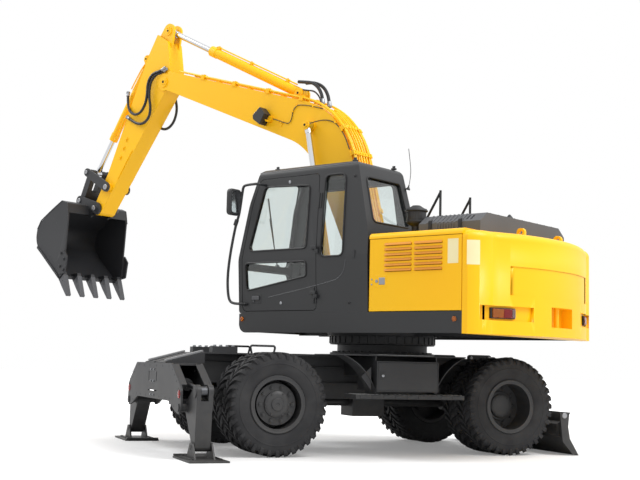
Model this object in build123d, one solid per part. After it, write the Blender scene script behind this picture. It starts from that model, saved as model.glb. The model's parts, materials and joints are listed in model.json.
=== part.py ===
# Wheeled excavator with front outriggers, a rear blade and a swung upper works.
# Millimetres. +X points to the outrigger end of the carrier, +Y to its left side, +Z up.
from build123d import *
import os
from math import acos, atan2, cos, degrees, hypot, pi, radians, sin, sqrt

# ---------------------------------------------------------------- driving dimensions
FIT = 0.3            # running clearance at pins, faces and glands
CLEAR = 6.0          # clearance between moving panels

# poses: headings and angles of the parts at rest
SWING = -60.9        # heading of the upper works, from the carrier's
BOOM_ANGLE = 39.55   # boom foot to arm pivot, above level
ARM_ANGLE = -51.15   # arm pivot to bucket pin
BUCKET_ANGLE = 20.4  # bucket pin to bucket link pin

# carrier
FRONT_AXLE_X = 1650.0
REAR_AXLE_X = -960.0
TYRE_R = 512.0
TYRE_W = 264.0
TWIN_GAP = 52.0      # between the two tyres of a pair
TREAD_R = 487.0      # carcass between the lugs
LUGS = 16            # lugs in each of a tyre's two rows
LUG_REACH = 58.0     # half length of a lug round the tyre
WHEEL_Y = 915.0      # middle of a pair, from the centre line
RIM_R = 254.0
RIM_WALL = 14.0
RIM_LIP = 18.0
KINGPIN_Y = 700.0
STEER_ARM = 172.0    # kingpin to the ball of the cross rod
FRAME_TOP = 1010.0
FRAME_LOW = 700.0    # underside above the axles
FRAME_BELLY = 545.0  # underside between the axles
FRAME_HALF = 335.0
FRAME_FLANGE = 450.0
FRAME_REAR_X = -1460.0
FRAME_WALL = 14.0
RING_TOP = 1140.0    # split between the fixed and the turning ring
RING_R = 507.0
RING_UPPER_R = 590.0
DECK_LOW = 1240.0

# outriggers
BOX_X0 = 2310.0
BOX_X1 = 2630.0
BOX_PLATE = 20.0
BOX_TOP = 890.0
LEG_W = 155.0
LEG_PIVOT = (1120.0, 470.0)
LEG_CRANK = (1400.0, 635.0)
FOOT_PIN = (1385.0, 125.0)
FOOT_L = 380.0
FOOT_W = 620.0
OUT_CYL_BASE = (100.0, 740.0)
OUT_CYL_R = 52.0

# blade
BLADE_W = 2500.0
BLADE_PIVOT = (-1320.0, 640.0)
BLADE_TOP_PIN = (-1530.0, 1000.0)
BLADE_LOW_PIN = (-1560.0, 420.0)
BLADE_CYL_Y = 200.0

# upper works, in the frame of the upper works (X forwards to the boom)
DECK_TOP = 1450.0
DECK_HALF = 1235.0
DECK_FRONT = 1070.0
BAY_REAR = -1830.0   # front edge of the counterweight
BAY_FRONT = -720.0
BAY_TOP = 2250.0
TAIL_R = 2250.0
TAIL_BOW = 227.0     # how far the rear face bows out
TOW_HALF = 220.0     # half width of the tow pin's pocket
CW_TOP = 2230.0
LIFT_EYE = (-1990.0, CW_TOP + 45.0)
LIFT_EYE_Y = 390.0
HOOD_HALF = 880.0
HOOD_FRONT = -1080.0
HOOD_TOP = 2450.0
PANEL = 24.0
CAB_IN = 315.0       # inner side of the cab, next to the boom
CAB_WALL = 45.0
CAB_TOP = 3065.0
GLASS = 6.0
CAB_FLOOR = DECK_TOP + CAB_WALL + 2 * FIT
DOOR_HINGE = (-28.0, DECK_HALF + 21.0)
HINGE_R = 12.0

# boom, arm and bucket: pins as (along, across) from the first pin of each piece
BOOM_FOOT = (80.0, 1750.0)
BOOM_L = 4600.0
BOOM_HALF = 165.0
BOOM_WALL = 14.0
BOOM_CYL_BASE = (500.0, 1400.0)
BOOM_CYL_PIN = (1974.0, 964.0)
BOOM_CYL_Y = 238.0
FOOT_IN = 171.0      # inner face of the boom's foot brackets
ARM_CYL_BASE = (2500.0, 1140.0)
WORK_LAMP = (2640.0, 640.0)   # on the boom's left side
ARM_L = 2111.0
ARM_HALF = 130.0
ARM_WALL = 12.0
ARM_CYL_PIN = (-555.0, 489.0)
BUCKET_CYL_BASE = (-25.0, 630.0)
ROCKER_PIN = (1743.0, -4.0)
ROCKER_TOP = (5148.0, 3568.0)
BUCKET_W = 1080.0
BUCKET_LEVER = 401.0
EAR_W = 32.0         # bucket ears, against the arm's end
ROCKER_IN = ARM_HALF + EAR_W + 2 * CLEAR
ROCKER_OUT = ROCKER_IN + 26.0
PIN_R = 38.0


# hydraulic cylinders: barrel and rod radius, eye, pin, gland and shortest length
BOOM_SIZE = {"barrel": 58.0, "rod": 35.0, "eye_w": 66.0, "gland": 1420.0, "shortest": 1760.0,
             "eye_r": 54.0, "pin_r": PIN_R}
ARM_SIZE = {"barrel": 64.0, "rod": 38.0, "eye_w": 90.0, "gland": 1790.0, "shortest": 1960.0,
            "eye_r": 60.0, "pin_r": PIN_R}
BUCKET_SIZE = {"barrel": 54.0, "rod": 34.0, "eye_w": 84.0, "gland": 1294.0, "shortest": 1430.0,
               "eye_r": 52.0, "pin_r": 34.0}


# ---------------------------------------------------------------- helpers
def face(points):
    """Closed outline from (a, b) or (a, b, corner radius)."""
    radii = [p[2] if len(p) > 2 else 0.0 for p in points]
    corners = [(p[0], p[1]) for p in points]
    if max(radii) == 0.0:
        return make_face(Polyline(*corners, close=True))
    return make_face(FilletPolyline(*corners, radius=radii, close=True))


def across(shape, y0, y1):
    """Extrudes an outline drawn as (x, z) from y0 to y1."""
    return extrude(Plane((0, y1, 0), (1, 0, 0), (0, -1, 0)) * shape, y1 - y0)


def along(shape, x0, x1):
    """Extrudes an outline drawn as (y, z) from x0 to x1."""
    return extrude(Plane((x0, 0, 0), (0, 1, 0), (1, 0, 0)) * shape, x1 - x0)


def upright(shape, z0, z1):
    """Extrudes an outline drawn as (x, y) from z0 to z1."""
    return extrude(Plane((0, 0, z0), (1, 0, 0), (0, 0, 1)) * shape, z1 - z0)


def block(x0, x1, y0, y1, z0, z1):
    """Box between two corners."""
    return Pos((x0 + x1) / 2, (y0 + y1) / 2, (z0 + z1) / 2) * Box(x1 - x0, y1 - y0, z1 - z0)


def pin(x, z, y0, y1, radius):
    """Cylinder along Y."""
    return Pos(x, (y0 + y1) / 2, z) * Rot(90, 0, 0) * Cylinder(radius, abs(y1 - y0))


def cross_pin(y, z, x0, x1, radius):
    """Cylinder along X."""
    return Pos((x0 + x1) / 2, y, z) * Rot(0, 90, 0) * Cylinder(radius, abs(x1 - x0))


def post(x, y, z0, z1, radius):
    """Cylinder along Z."""
    return Pos(x, y, (z0 + z1) / 2) * Cylinder(radius, z1 - z0)


def strap(p, rp, q, rq):
    """Outline round two circles and the belt between them."""
    heading = atan2(q[1] - p[1], q[0] - p[0])
    spread = acos((rp - rq) / hypot(q[0] - p[0], q[1] - p[1]))
    belt = []
    for turn in (spread, -spread):
        belt.append((p[0] + rp * cos(heading + turn), p[1] + rp * sin(heading + turn)))
        belt.append((q[0] + rq * cos(heading + turn), q[1] + rq * sin(heading + turn)))
    middle = make_face(Polyline(belt[0], belt[1], belt[3], belt[2], close=True))
    return middle + Pos(*p) * Circle(rp) + Pos(*q) * Circle(rq)


def place(origin, angle, point):
    """Point of a turned piece's frame, in the frame around it."""
    a = radians(angle)
    return (
        origin[0] + point[0] * cos(a) - point[1] * sin(a),
        origin[1] + point[0] * sin(a) + point[1] * cos(a),
    )


def mirrored(shape):
    """The same piece on the other side of the centre line."""
    return mirror(shape, Plane.XZ)


def turned(points):
    """Revolves an outline drawn as (radius, height) about Z."""
    return revolve(Plane.XZ * face(points), Axis.Z)


def in_plane(origin, angle, shape):
    """Turns a piece made in its own X-Z frame about Y, to its angle, at its first pin."""
    return Pos(origin[0], 0, origin[1]) * Rot(0, -angle, 0) * shape


# ---------------------------------------------------------------- worked-out places
BUCKET_PIN = place(
    place(BOOM_FOOT, BOOM_ANGLE, (BOOM_L, 0)), ARM_ANGLE, (ARM_L, 0)
)
ARM_PIVOT = place(BOOM_FOOT, BOOM_ANGLE, (BOOM_L, 0))
BUCKET_LINK_PIN = place(BUCKET_PIN, BUCKET_ANGLE, (BUCKET_LEVER, 0))
ROCKER_FOOT = place(ARM_PIVOT, ARM_ANGLE, ROCKER_PIN)
TYRE_MID = (TWIN_GAP + TYRE_W) / 2

NODES = {}


# ---------------------------------------------------------------- cylinders
def cylinder_pair(base, rod_pin, size):
    """Barrel and rod between two pins, in their own frame (X along the stroke)."""
    length = hypot(rod_pin[0] - base[0], rod_pin[1] - base[1])
    radius, rod_r, eye_w, gland = size["barrel"], size["rod"], size["eye_w"], size["gland"]
    eye_r, pin_r = size["eye_r"], size["pin_r"]
    start = eye_r + 24
    tube = Pos((start + gland) / 2, 0, 0) * Rot(0, 90, 0) * Cylinder(radius, gland - start)
    tube += Pos(gland - 55, 0, 0) * Rot(0, 90, 0) * Cylinder(radius + 7, 110)
    bore_end = gland - 45
    tube -= Pos((start + 30 + bore_end) / 2, 0, 0) * Rot(0, 90, 0) * Cylinder(
        radius - 9, bore_end - start - 30
    )
    tube -= Pos(gland, 0, 0) * Rot(0, 90, 0) * Cylinder(rod_r + FIT, 200)
    neck = Pos(start / 2, 0, 0) * Box(start, eye_w, eye_r * 1.7)
    barrel = tube + neck + Rot(90, 0, 0) * Cylinder(eye_r, eye_w)
    barrel -= Rot(90, 0, 0) * Cylinder(pin_r + FIT, eye_w + 2)
    inner = length - size["shortest"] + start + 45
    rod = Pos((inner + length) / 2, 0, 0) * Rot(0, 90, 0) * Cylinder(rod_r, length - inner)
    rod += Pos(length - eye_r - 22, 0, 0) * Rot(0, 90, 0) * Cylinder(rod_r + 6, 50)
    rod += Pos(length, 0, 0) * Rot(90, 0, 0) * Cylinder(eye_r, eye_w)
    return barrel, rod


def ram(base, rod_pin, size, y=0.0):
    """The pair placed in the X-Z plane at a side distance y."""
    angle = degrees(atan2(rod_pin[1] - base[1], rod_pin[0] - base[0]))
    barrel, rod = cylinder_pair(base, rod_pin, size)
    spot = Pos(base[0], y, base[1]) * Rot(0, -angle, 0)
    return spot * barrel, spot * rod


# ---------------------------------------------------------------- carrier
def chassis():
    """Welded box frame with a ring pedestal, front cover plates and blade lugs."""
    outline = [
        (FRAME_REAR_X, FRAME_LOW), (FRAME_REAR_X, FRAME_TOP), (BOX_X0 - 110, FRAME_TOP),
        (BOX_X0, FRAME_TOP - 30), (BOX_X0, FRAME_LOW), (1250, FRAME_LOW), (1120, FRAME_BELLY),
        (-480, FRAME_BELLY), (-600, FRAME_LOW),
    ]
    shape = face(outline)
    frame = across(shape, -FRAME_HALF, FRAME_HALF)
    inner = across(offset(shape, -FRAME_WALL), -FRAME_HALF + FRAME_WALL, FRAME_HALF - FRAME_WALL)
    frame -= inner
    frame -= block(FRAME_REAR_X - 10, FRAME_REAR_X + 50, -200, 200, 760, 900)
    for z, half in ((FRAME_TOP - 16, FRAME_FLANGE), (FRAME_LOW, FRAME_HALF + 45)):
        plate = block(FRAME_REAR_X, BOX_X0 - 110, -half, half, z, z + 16)
        plate -= block(FRAME_REAR_X - 1, BOX_X0, 1 - FRAME_HALF, FRAME_HALF - 1, z - 1, z + 17)
        frame += plate
    cover = face([(BOX_X0 - 111, FRAME_TOP), (BOX_X1 - 20, BOX_TOP + 10), (BOX_X1 - 20, BOX_TOP),
                  (BOX_X0, BOX_TOP), (BOX_X0 - 111, BOX_TOP)])
    for side in (1, -1):
        low, high = sorted((side * 40, side * FRAME_FLANGE))
        frame += across(cover, low, high)
    tower = post(0, 0, FRAME_TOP - 5, FRAME_TOP + 40, RING_UPPER_R)
    frame += tower
    for side in (1, -1):
        low, high = sorted((side * (FRAME_HALF - FRAME_WALL), side * (FRAME_HALF + 20)))
        frame += across(strap((-1350, 760), 70, BLADE_PIVOT, 58), low, high)
        frame += pin(*BLADE_PIVOT, side * FRAME_HALF, side * (FRAME_HALF + 84), PIN_R)
        for y in (BLADE_CYL_Y - BLADE_EAR - 22, BLADE_CYL_Y + BLADE_EAR):
            low, high = sorted((side * y, side * (y + 22)))
            frame += across(strap((-1425, 985), 45, BLADE_TOP_PIN, 44), low, high)
        low, high = sorted((side * (BLADE_CYL_Y - 58), side * (BLADE_CYL_Y + 58)))
        frame += pin(*BLADE_TOP_PIN, low, high, BLADE_SIZE["pin_r"])
    for side in (1, -1):
        low, high = sorted((side * (FRAME_FLANGE - 130), side * (FRAME_FLANGE - 5)))
        frame += block(1850, 2120, low, high, FRAME_TOP - 1, FRAME_TOP + 62)
        low, high = sorted((side * (FRAME_FLANGE - 45), side * (FRAME_FLANGE - 15)))
        lug = strap((-1130, FRAME_TOP + 12), 34, (-900, FRAME_TOP + 12), 34)
        frame += across(lug, low, high)
        y = side * (FRAME_FLANGE - 20)
        hoop = FilletPolyline((1450, y, FRAME_TOP - 5), (1430, y, FRAME_TOP + 80),
                              (1710, y, FRAME_TOP + 80), (1690, y, FRAME_TOP - 5), radius=20)
        frame += sweep(Plane(hoop @ 0, z_dir=hoop % 0) * Circle(11), hoop)
    for x in (FRONT_AXLE_X - 150, FRONT_AXLE_X + 120):
        frame += along(face([(-110, FRAME_LOW + 5), (110, FRAME_LOW + 5), (70, 610, 30),
                             (-70, 610, 30)]), x, x + 30)
    return frame


def slew_ring():
    """Fixed race of the swing bearing."""
    ring = post(0, 0, FRAME_TOP + 40, RING_TOP, RING_R)
    return ring - post(0, 0, FRAME_TOP + 39, RING_TOP + 1, RING_R - 110)


def front_axle():
    """Steered axle: differential, tubes, yokes with kingpins, steering cylinder."""
    z = TYRE_R
    housing = Pos(FRONT_AXLE_X, 0, z) * Sphere(150)
    housing += pin(FRONT_AXLE_X, z, -560, 560, 78)
    housing += cross_pin(0, z, FRONT_AXLE_X - 210, FRONT_AXLE_X, 85)
    housing += cross_pin(0, 650, FRONT_AXLE_X - 120, FRONT_AXLE_X + 120, 42)
    rod_x = FRONT_AXLE_X + STEER_ARM
    housing += pin(rod_x, z - 10, -230, 230, 36)
    housing += block(FRONT_AXLE_X, rod_x - 20, -40, 40, z - 40, z + 20)
    housing -= pin(rod_x, z - 10, -231, 231, 14 + FIT)
    for side in (1, -1):
        y0, y1 = sorted((side * 520, side * 585))
        housing += block(FRONT_AXLE_X - 70, FRONT_AXLE_X + 70, y0, y1, z - 155, z + 155)
        for low in (z - 155, z + 112):
            arm = upright(strap((FRONT_AXLE_X, side * 560), 70, (FRONT_AXLE_X, side * KINGPIN_Y), 62),
                          low, low + 43)
            housing += arm
        housing += post(FRONT_AXLE_X, side * KINGPIN_Y, z - 150, z + 150, 28)
    return housing


def knuckle(side):
    """Steering knuckle with its spindle flange and steering arm."""
    z = TYRE_R
    y = side * KINGPIN_Y
    end = side * (WHEEL_Y - RIM_WALL - FIT)
    body = post(FRONT_AXLE_X, y, z - 112 + FIT, z + 112 - FIT, 66)
    body += pin(FRONT_AXLE_X, z, y, end, 70)
    body += pin(FRONT_AXLE_X, z, end - side * 30, end, 120)
    lever = strap((FRONT_AXLE_X, y), 40, (FRONT_AXLE_X + STEER_ARM, y), 30)
    body += upright(lever, z - 60, z - 38)
    return body - post(FRONT_AXLE_X, y, z - 200, z + 200, 28 + FIT)


def steering_rod():
    """Cross rod of the steering, in its cylinder ahead of the front axle."""
    x = FRONT_AXLE_X + STEER_ARM
    z = TYRE_R - 10
    rod = pin(x, z, -KINGPIN_Y - 24, KINGPIN_Y + 24, 14)
    for side in (1, -1):
        rod += post(x, side * KINGPIN_Y, z - 24, z + 22, 22)
    return rod


def rear_axle():
    """Rigid axle bolted under the frame."""
    z = TYRE_R
    housing = Pos(REAR_AXLE_X, 0, z) * Sphere(150)
    housing += cross_pin(0, z, REAR_AXLE_X, REAR_AXLE_X + 210, 85)
    end = WHEEL_Y - RIM_WALL - FIT
    housing += pin(REAR_AXLE_X, z, -end, end, 82)
    for side in (1, -1):
        housing += pin(REAR_AXLE_X, z, side * (end - 40), side * end, 130)
        low, high = sorted((side * 190, side * 310))
        housing += block(REAR_AXLE_X - 110, REAR_AXLE_X + 110, low, high, z, FRAME_LOW)
    return housing


def driveline():
    """Gearbox under the belly with a shaft to each axle."""
    z = TYRE_R - 40
    gear = block(40, 420, -170, 170, z - 120, FRAME_BELLY)
    rear_face = REAR_AXLE_X + 210
    front_face = FRONT_AXLE_X - 210
    gear += cross_pin(0, TYRE_R - 12, rear_face, 40, 42)
    gear += cross_pin(0, TYRE_R - 12, 420, front_face, 42)
    return gear


def rim(side, front):
    """Twin disc wheels with the planetary hub that turns with them."""
    lip = RIM_R + RIM_LIP
    inner = RIM_R - RIM_WALL
    z0 = TYRE_MID - 114
    z1 = TYRE_MID + 102
    half = [
        (96, 0), (RIM_R, 0), (RIM_R, z0), (lip, z0), (lip, z0 + 12), (RIM_R, z0 + 12),
        (RIM_R, z1), (lip, z1), (lip, z1 + 12), (inner, z1 + 12), (inner, RIM_WALL),
        (96, RIM_WALL),
    ]
    wheel = turned(half)
    wheel += mirror(wheel, Plane.XY)
    if front:
        hub = [(0, -RIM_WALL), (150, -RIM_WALL), (150, 170), (205, 182), (205, 206),
               (130, 212), (130, 236), (100, 250), (0, 250)]
    else:
        hub = [(0, -RIM_WALL), (150, -RIM_WALL), (150, 60), (128, 70), (128, 92),
               (88, 104), (0, 104)]
    wheel += turned(hub)
    x = FRONT_AXLE_X if front else REAR_AXLE_X
    return Pos(x, side * WHEEL_Y, TYRE_R) * Rot(-90 * side, 0, 0) * wheel


def tyre():
    """One tyre about Z: a faceted carcass with two staggered rows of bent lugs."""
    half = TYRE_W / 2
    rings = [(276, 101), (385, half), (462, half - 4), (TREAD_R, half - 36)]
    rings += [(r, -h) for r, h in rings[::-1]]
    spread = 1 / sqrt(cos(pi / LUGS))
    outlines = [Pos(0, 0, h) * RegularPolygon(r * spread, LUGS) for r, h in rings]
    seat_hole = RegularPolygon(RIM_R + FIT, 24, major_radius=False)
    carcass = loft(outlines, ruled=True) - extrude(seat_hole, half + 1, both=True)
    top = sqrt(TYRE_R**2 - LUG_REACH**2)
    low = TYRE_R - 72
    plan = face([(-LUG_REACH, half + 2), (-4, half + 2), (3, 80), (LUG_REACH, 6), (13, 6), (-50, 84)])
    lug = extrude(Plane((low, 0, 0), (0, 1, 0), (1, 0, 0)) * plan, top - low)
    shoulder = face([(low, 0), (top, 0), (top, half - 34), (low + 20, half + 2), (low, half + 2)])
    lug &= across(shoulder, -2 * LUG_REACH, 2 * LUG_REACH)
    other = Rot(0, 0, 180 / LUGS) * mirror(lug, Plane.XY)
    return carcass + list(PolarLocations(0, LUGS) * lug) + list(PolarLocations(0, LUGS) * other)


TYRE = tyre()


def tyres(side, front):
    """Two tyres of a pair, as two solids."""
    x = FRONT_AXLE_X if front else REAR_AXLE_X
    spot = Pos(x, side * WHEEL_Y, TYRE_R) * Rot(-90 * side, 0, 0)
    return [spot * Pos(0, 0, TYRE_MID) * TYRE, spot * Pos(0, 0, -TYRE_MID) * TYRE]


SIDE_BOX = {"x0": -100.0, "x1": 600.0, "z0": 650.0, "z1": 960.0, "y": 1190.0}


def side_box(side):
    """Step box between the wheels, with curved guards and a tread step below."""
    b = SIDE_BOX
    t = 12.0
    y = side * b["y"]
    back = side * 700
    web = side * FRAME_HALF
    low = b["z1"] - 1

    def slab(x0, x1, ya, yb, z0, z1):
        first, last = sorted((ya, yb))
        return block(x0, x1, first, last, z0, z1)

    body = slab(b["x0"], b["x1"], back, y, b["z0"], b["z1"])
    body -= slab(b["x0"] + t, b["x1"] - t, back + side * t, y + side, b["z0"] + t, b["z1"] - t)
    cover = slab(-440, 950, web, side * 1150, FRAME_TOP, FRAME_TOP + t)
    body += cover - post(0, 0, FRAME_TOP - 1, FRAME_TOP + 60, RING_UPPER_R)
    for x in (b["x0"], b["x1"] - t):
        body += slab(x, x + t, web, back, 800, FRAME_TOP - 16)
        body += slab(x, x + t, back, side * 1150, low, FRAME_TOP + 1)
        body += slab(x, x + t, side * 900, side * 1150, 600, b["z0"] + 1)
    body += slab(b["x0"], b["x1"], back, back + side * t, low, FRAME_TOP + 1)
    y0, y1 = sorted((side * 900, side * 1150))
    for end, box_end, way in ((950, b["x1"] - 2, 1), (-440, b["x0"] + 2, -1)):
        curve = ThreePointArc((end, FRAME_TOP + 1), (box_end + way * 135, 868), (box_end, 655))
        guard = make_face(curve + Line(curve @ 1, (box_end, 668)) + ThreePointArc(
            (box_end, 668), (box_end + way * 128, 876), (end - way * 16, FRAME_TOP + 1)
        ) + Line((end - way * 16, FRAME_TOP + 1), curve @ 0))
        body += across(guard, y0, y1)
    return body + slab(-400, 830, side * 900, side * 1200, 575, 620)


def box_door():
    """Lid of the left step box, hinged along its lower edge."""
    b = SIDE_BOX
    t = 12.0
    return block(b["x0"] + t + 2, b["x1"] - t - 2, b["y"] - 20, b["y"], b["z0"] + t + FIT,
                 b["z1"] - t - 2)


def outrigger_box():
    """Cross box of two plates with open ends for the legs."""
    half = [
        (0, 520), (700, 520), (980, 430, 60), (1120, 405, 50), (1195, 470, 60),
        (1185, 640, 30), (1120, 700), (770, BOX_TOP), (0, BOX_TOP),
    ]
    left = face(half)
    plate = left + mirror(left, Plane.YZ)
    box = along(plate, BOX_X0, BOX_X0 + BOX_PLATE) + along(plate, BOX_X1 - BOX_PLATE, BOX_X1)
    box += block(BOX_X0, BOX_X1, -770, 770, BOX_TOP - BOX_PLATE, BOX_TOP)
    box += block(BOX_X0, BOX_X1, -700, 700, 520, 520 + BOX_PLATE)
    box += block(BOX_X0, BOX_X1, -10, 10, 530, BOX_TOP - 5)
    for side in (1, -1):
        y = side * 170
        box -= block(BOX_X1 - BOX_PLATE - 1, BOX_X1 + 1, y - 12, y + 12, 700, 800)
        flange = face([(side * 790, BOX_TOP - 8), (side * 1128, 692), (side * 1120, 678),
                       (side * 782, BOX_TOP - 24)])
        box += along(flange, BOX_X0, BOX_X0 + 75) + along(flange, BOX_X1 - 75, BOX_X1)
    box -= block(BOX_X1 - BOX_PLATE - 1, BOX_X1 + 1, -190, 190, 596, 608)
    for side in (1, -1):
        box += cross_pin(side * LEG_PIVOT[0], LEG_PIVOT[1], BOX_X0 - 12, BOX_X1 + 12, PIN_R)
        box += cross_pin(side * OUT_CYL_BASE[0], OUT_CYL_BASE[1], BOX_X0, BOX_X1, 28)
    return box


BOX_MID = (BOX_X0 + BOX_X1) / 2


def outrigger_leg(side):
    """Bell-crank leg with a slot for the cylinder's eye."""
    pivot, crank, foot = (
        (side * p[0], p[1]) for p in (LEG_PIVOT, LEG_CRANK, FOOT_PIN)
    )
    fill = face([pivot, crank, foot])
    shape = strap(pivot, 66, crank, 62) + strap(crank, 62, foot, 44) + strap(pivot, 66, foot, 44) + fill
    leg = along(shape, BOX_MID - LEG_W / 2, BOX_MID + LEG_W / 2)
    slot = strap(crank, 104, (crank[0] - side * 200, crank[1] + 60), 104)
    leg -= along(slot, BOX_MID - 36, BOX_MID + 36)
    leg -= cross_pin(pivot[0], pivot[1], BOX_X0, BOX_X1, PIN_R + FIT)
    leg -= cross_pin(foot[0], foot[1], BOX_X0, BOX_X1, 24 + FIT)
    return leg


def outrigger_foot(side):
    """Ground plate with two ears and the pin through the leg."""
    y = side * FOOT_PIN[0]
    plate = block(BOX_MID - FOOT_L / 2, BOX_MID + FOOT_L / 2, y - FOOT_W / 2, y + FOOT_W / 2, 0, 18)
    ear = face([(y - 150, 10), (y + 150, 10), (y + 40, FOOT_PIN[1] + 40, 36), (y - 40, FOOT_PIN[1] + 40, 36)])
    foot = plate
    for x in (BOX_MID - LEG_W / 2 - CLEAR - 18, BOX_MID + LEG_W / 2 + CLEAR):
        foot += along(ear, x, x + 18)
    reach = LEG_W / 2 + CLEAR + 24
    return foot + cross_pin(y, FOOT_PIN[1], BOX_MID - reach, BOX_MID + reach, 24)


OUT_SIZE = {"barrel": OUT_CYL_R, "rod": 28.0, "eye_w": 60.0, "gland": 720.0,
            "shortest": 805.0, "eye_r": 46.0, "pin_r": 28.0}


def outrigger_ram(side):
    """Crosswise cylinder inside the box."""
    barrel, rod = cylinder_pair(OUT_CYL_BASE, LEG_CRANK, OUT_SIZE)
    angle = degrees(atan2(LEG_CRANK[1] - OUT_CYL_BASE[1], LEG_CRANK[0] - OUT_CYL_BASE[0]))
    spot = Pos(BOX_MID, OUT_CYL_BASE[0], OUT_CYL_BASE[1]) * Rot(angle, 0, 0) * Rot(0, 0, 90)
    if side > 0:
        return spot * barrel, spot * rod
    return mirrored(spot * barrel), mirrored(spot * rod)


BLADE_SIZE = {"barrel": 48.0, "rod": 26.0, "eye_w": 60.0, "gland": 340.0,
              "shortest": 430.0, "eye_r": 40.0, "pin_r": 28.0}
BLADE_EAR = 34.0     # from the middle of a blade cylinder to its ears


def blade():
    """Curved blade with end plates, a back beam and two arms."""
    outer = Line((-1650, 460), (-1668, 460)) + ThreePointArc((-1668, 460), (-1622, 230), (-1775, 3))
    outer += Line((-1775, 3), (-1750, 3))
    outer += ThreePointArc((-1750, 3), (-1602, 230), (-1650, 460))
    mould = across(make_face(outer), -BLADE_W / 2, BLADE_W / 2)
    end = face([(-1535, 460), (-1655, 460), (-1640, 300), (-1660, 180), (-1765, 10), (-1700, 10),
                (-1570, 150, 60)])
    for side in (1, -1):
        low, high = sorted((side * BLADE_W / 2, side * (BLADE_W / 2 - 20)))
        mould += across(end, low, high)
        arm = strap(BLADE_PIVOT, 62, (-1600, 330), 80)
        low, high = sorted((side * (FRAME_HALF + 45 + CLEAR), side * (FRAME_HALF + 84)))
        arm_solid = across(arm, low, high)
        arm_solid -= pin(*BLADE_PIVOT, side * 300, side * 500, PIN_R + FIT)
        mould += arm_solid
        for y in (BLADE_CYL_Y - BLADE_EAR - 24, BLADE_CYL_Y + BLADE_EAR + 2):
            low, high = sorted((side * y, side * (y + 22)))
            mould += across(strap((-1610, 380), 45, BLADE_LOW_PIN, 42), low, high)
    beam = face([(-1625, 180), (-1560, 220, 20), (-1560, 330, 20), (-1625, 370)])
    mould += across(beam, -1150, 1150)
    return mould


# ---------------------------------------------------------------- upper works
def upper_ring():
    """Turning race under the deck."""
    ring = post(0, 0, RING_TOP + FIT, DECK_LOW, RING_UPPER_R)
    return ring - post(0, 0, RING_TOP, DECK_LOW + 1, RING_R - 90)


def deck():
    """Turntable frame with skirts, boom brackets and cylinder brackets."""
    edge = face([
        (BAY_REAR, DECK_LOW), (DECK_FRONT, DECK_LOW, 100), (DECK_FRONT, DECK_TOP),
        (BAY_REAR, DECK_TOP),
    ])
    tray = across(edge, -DECK_HALF, DECK_HALF)
    inner = block(BAY_REAR + 60, DECK_FRONT - 60, -DECK_HALF + 12, DECK_HALF - 12, DECK_LOW - 1,
                  DECK_TOP - 14)
    core = post(0, 0, DECK_LOW, DECK_TOP, RING_UPPER_R + 30)
    core -= post(0, 0, DECK_LOW - 1, DECK_TOP - 14, RING_R - 90)
    tray = tray - inner + core
    for side in (1, -1):
        low, high = sorted((side * FOOT_IN, side * (FOOT_IN + 28)))
        tray += block(BAY_REAR, DECK_FRONT, low, high, DECK_LOW, DECK_TOP)
    tray -= block(330, 381, -FOOT_IN + 1, FOOT_IN - 1, DECK_LOW + 60, DECK_TOP + 1)
    tray -= block(380, DECK_FRONT + 1, 10 - CAB_IN, CAB_IN - 10, DECK_LOW + 60, DECK_TOP + 1)
    ear_gap = BOOM_SIZE["eye_w"] / 2 + 1.5
    for side in (1, -1):
        low, high = sorted((side * FOOT_IN, side * (FOOT_IN + 28)))
        bracket = face([(-320, DECK_TOP - 5), (379, DECK_TOP - 5), (230, 1700, 60),
                        (BOOM_FOOT[0] + 110, BOOM_FOOT[1] + 120, 110),
                        (BOOM_FOOT[0] - 110, BOOM_FOOT[1] + 120, 110)])
        tray += across(bracket, low, high)
        ear = face([(400, DECK_LOW + 50), (600, DECK_LOW + 50), (560, BOOM_CYL_BASE[1] + 55, 55),
                    (440, BOOM_CYL_BASE[1] + 55, 55)])
        for y in (BOOM_CYL_Y + ear_gap, BOOM_CYL_Y - ear_gap - 26):
            low, high = sorted((side * y, side * (y + 26)))
            tray += across(ear, low, high)
        low, high = sorted((side * (BOOM_CYL_Y - 60), side * (BOOM_CYL_Y + 60)))
        tray += pin(*BOOM_CYL_BASE, low, high, PIN_R)
    tray += pin(*BOOM_FOOT, -FOOT_IN - 14, FOOT_IN + 14, 50)
    return tray


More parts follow.
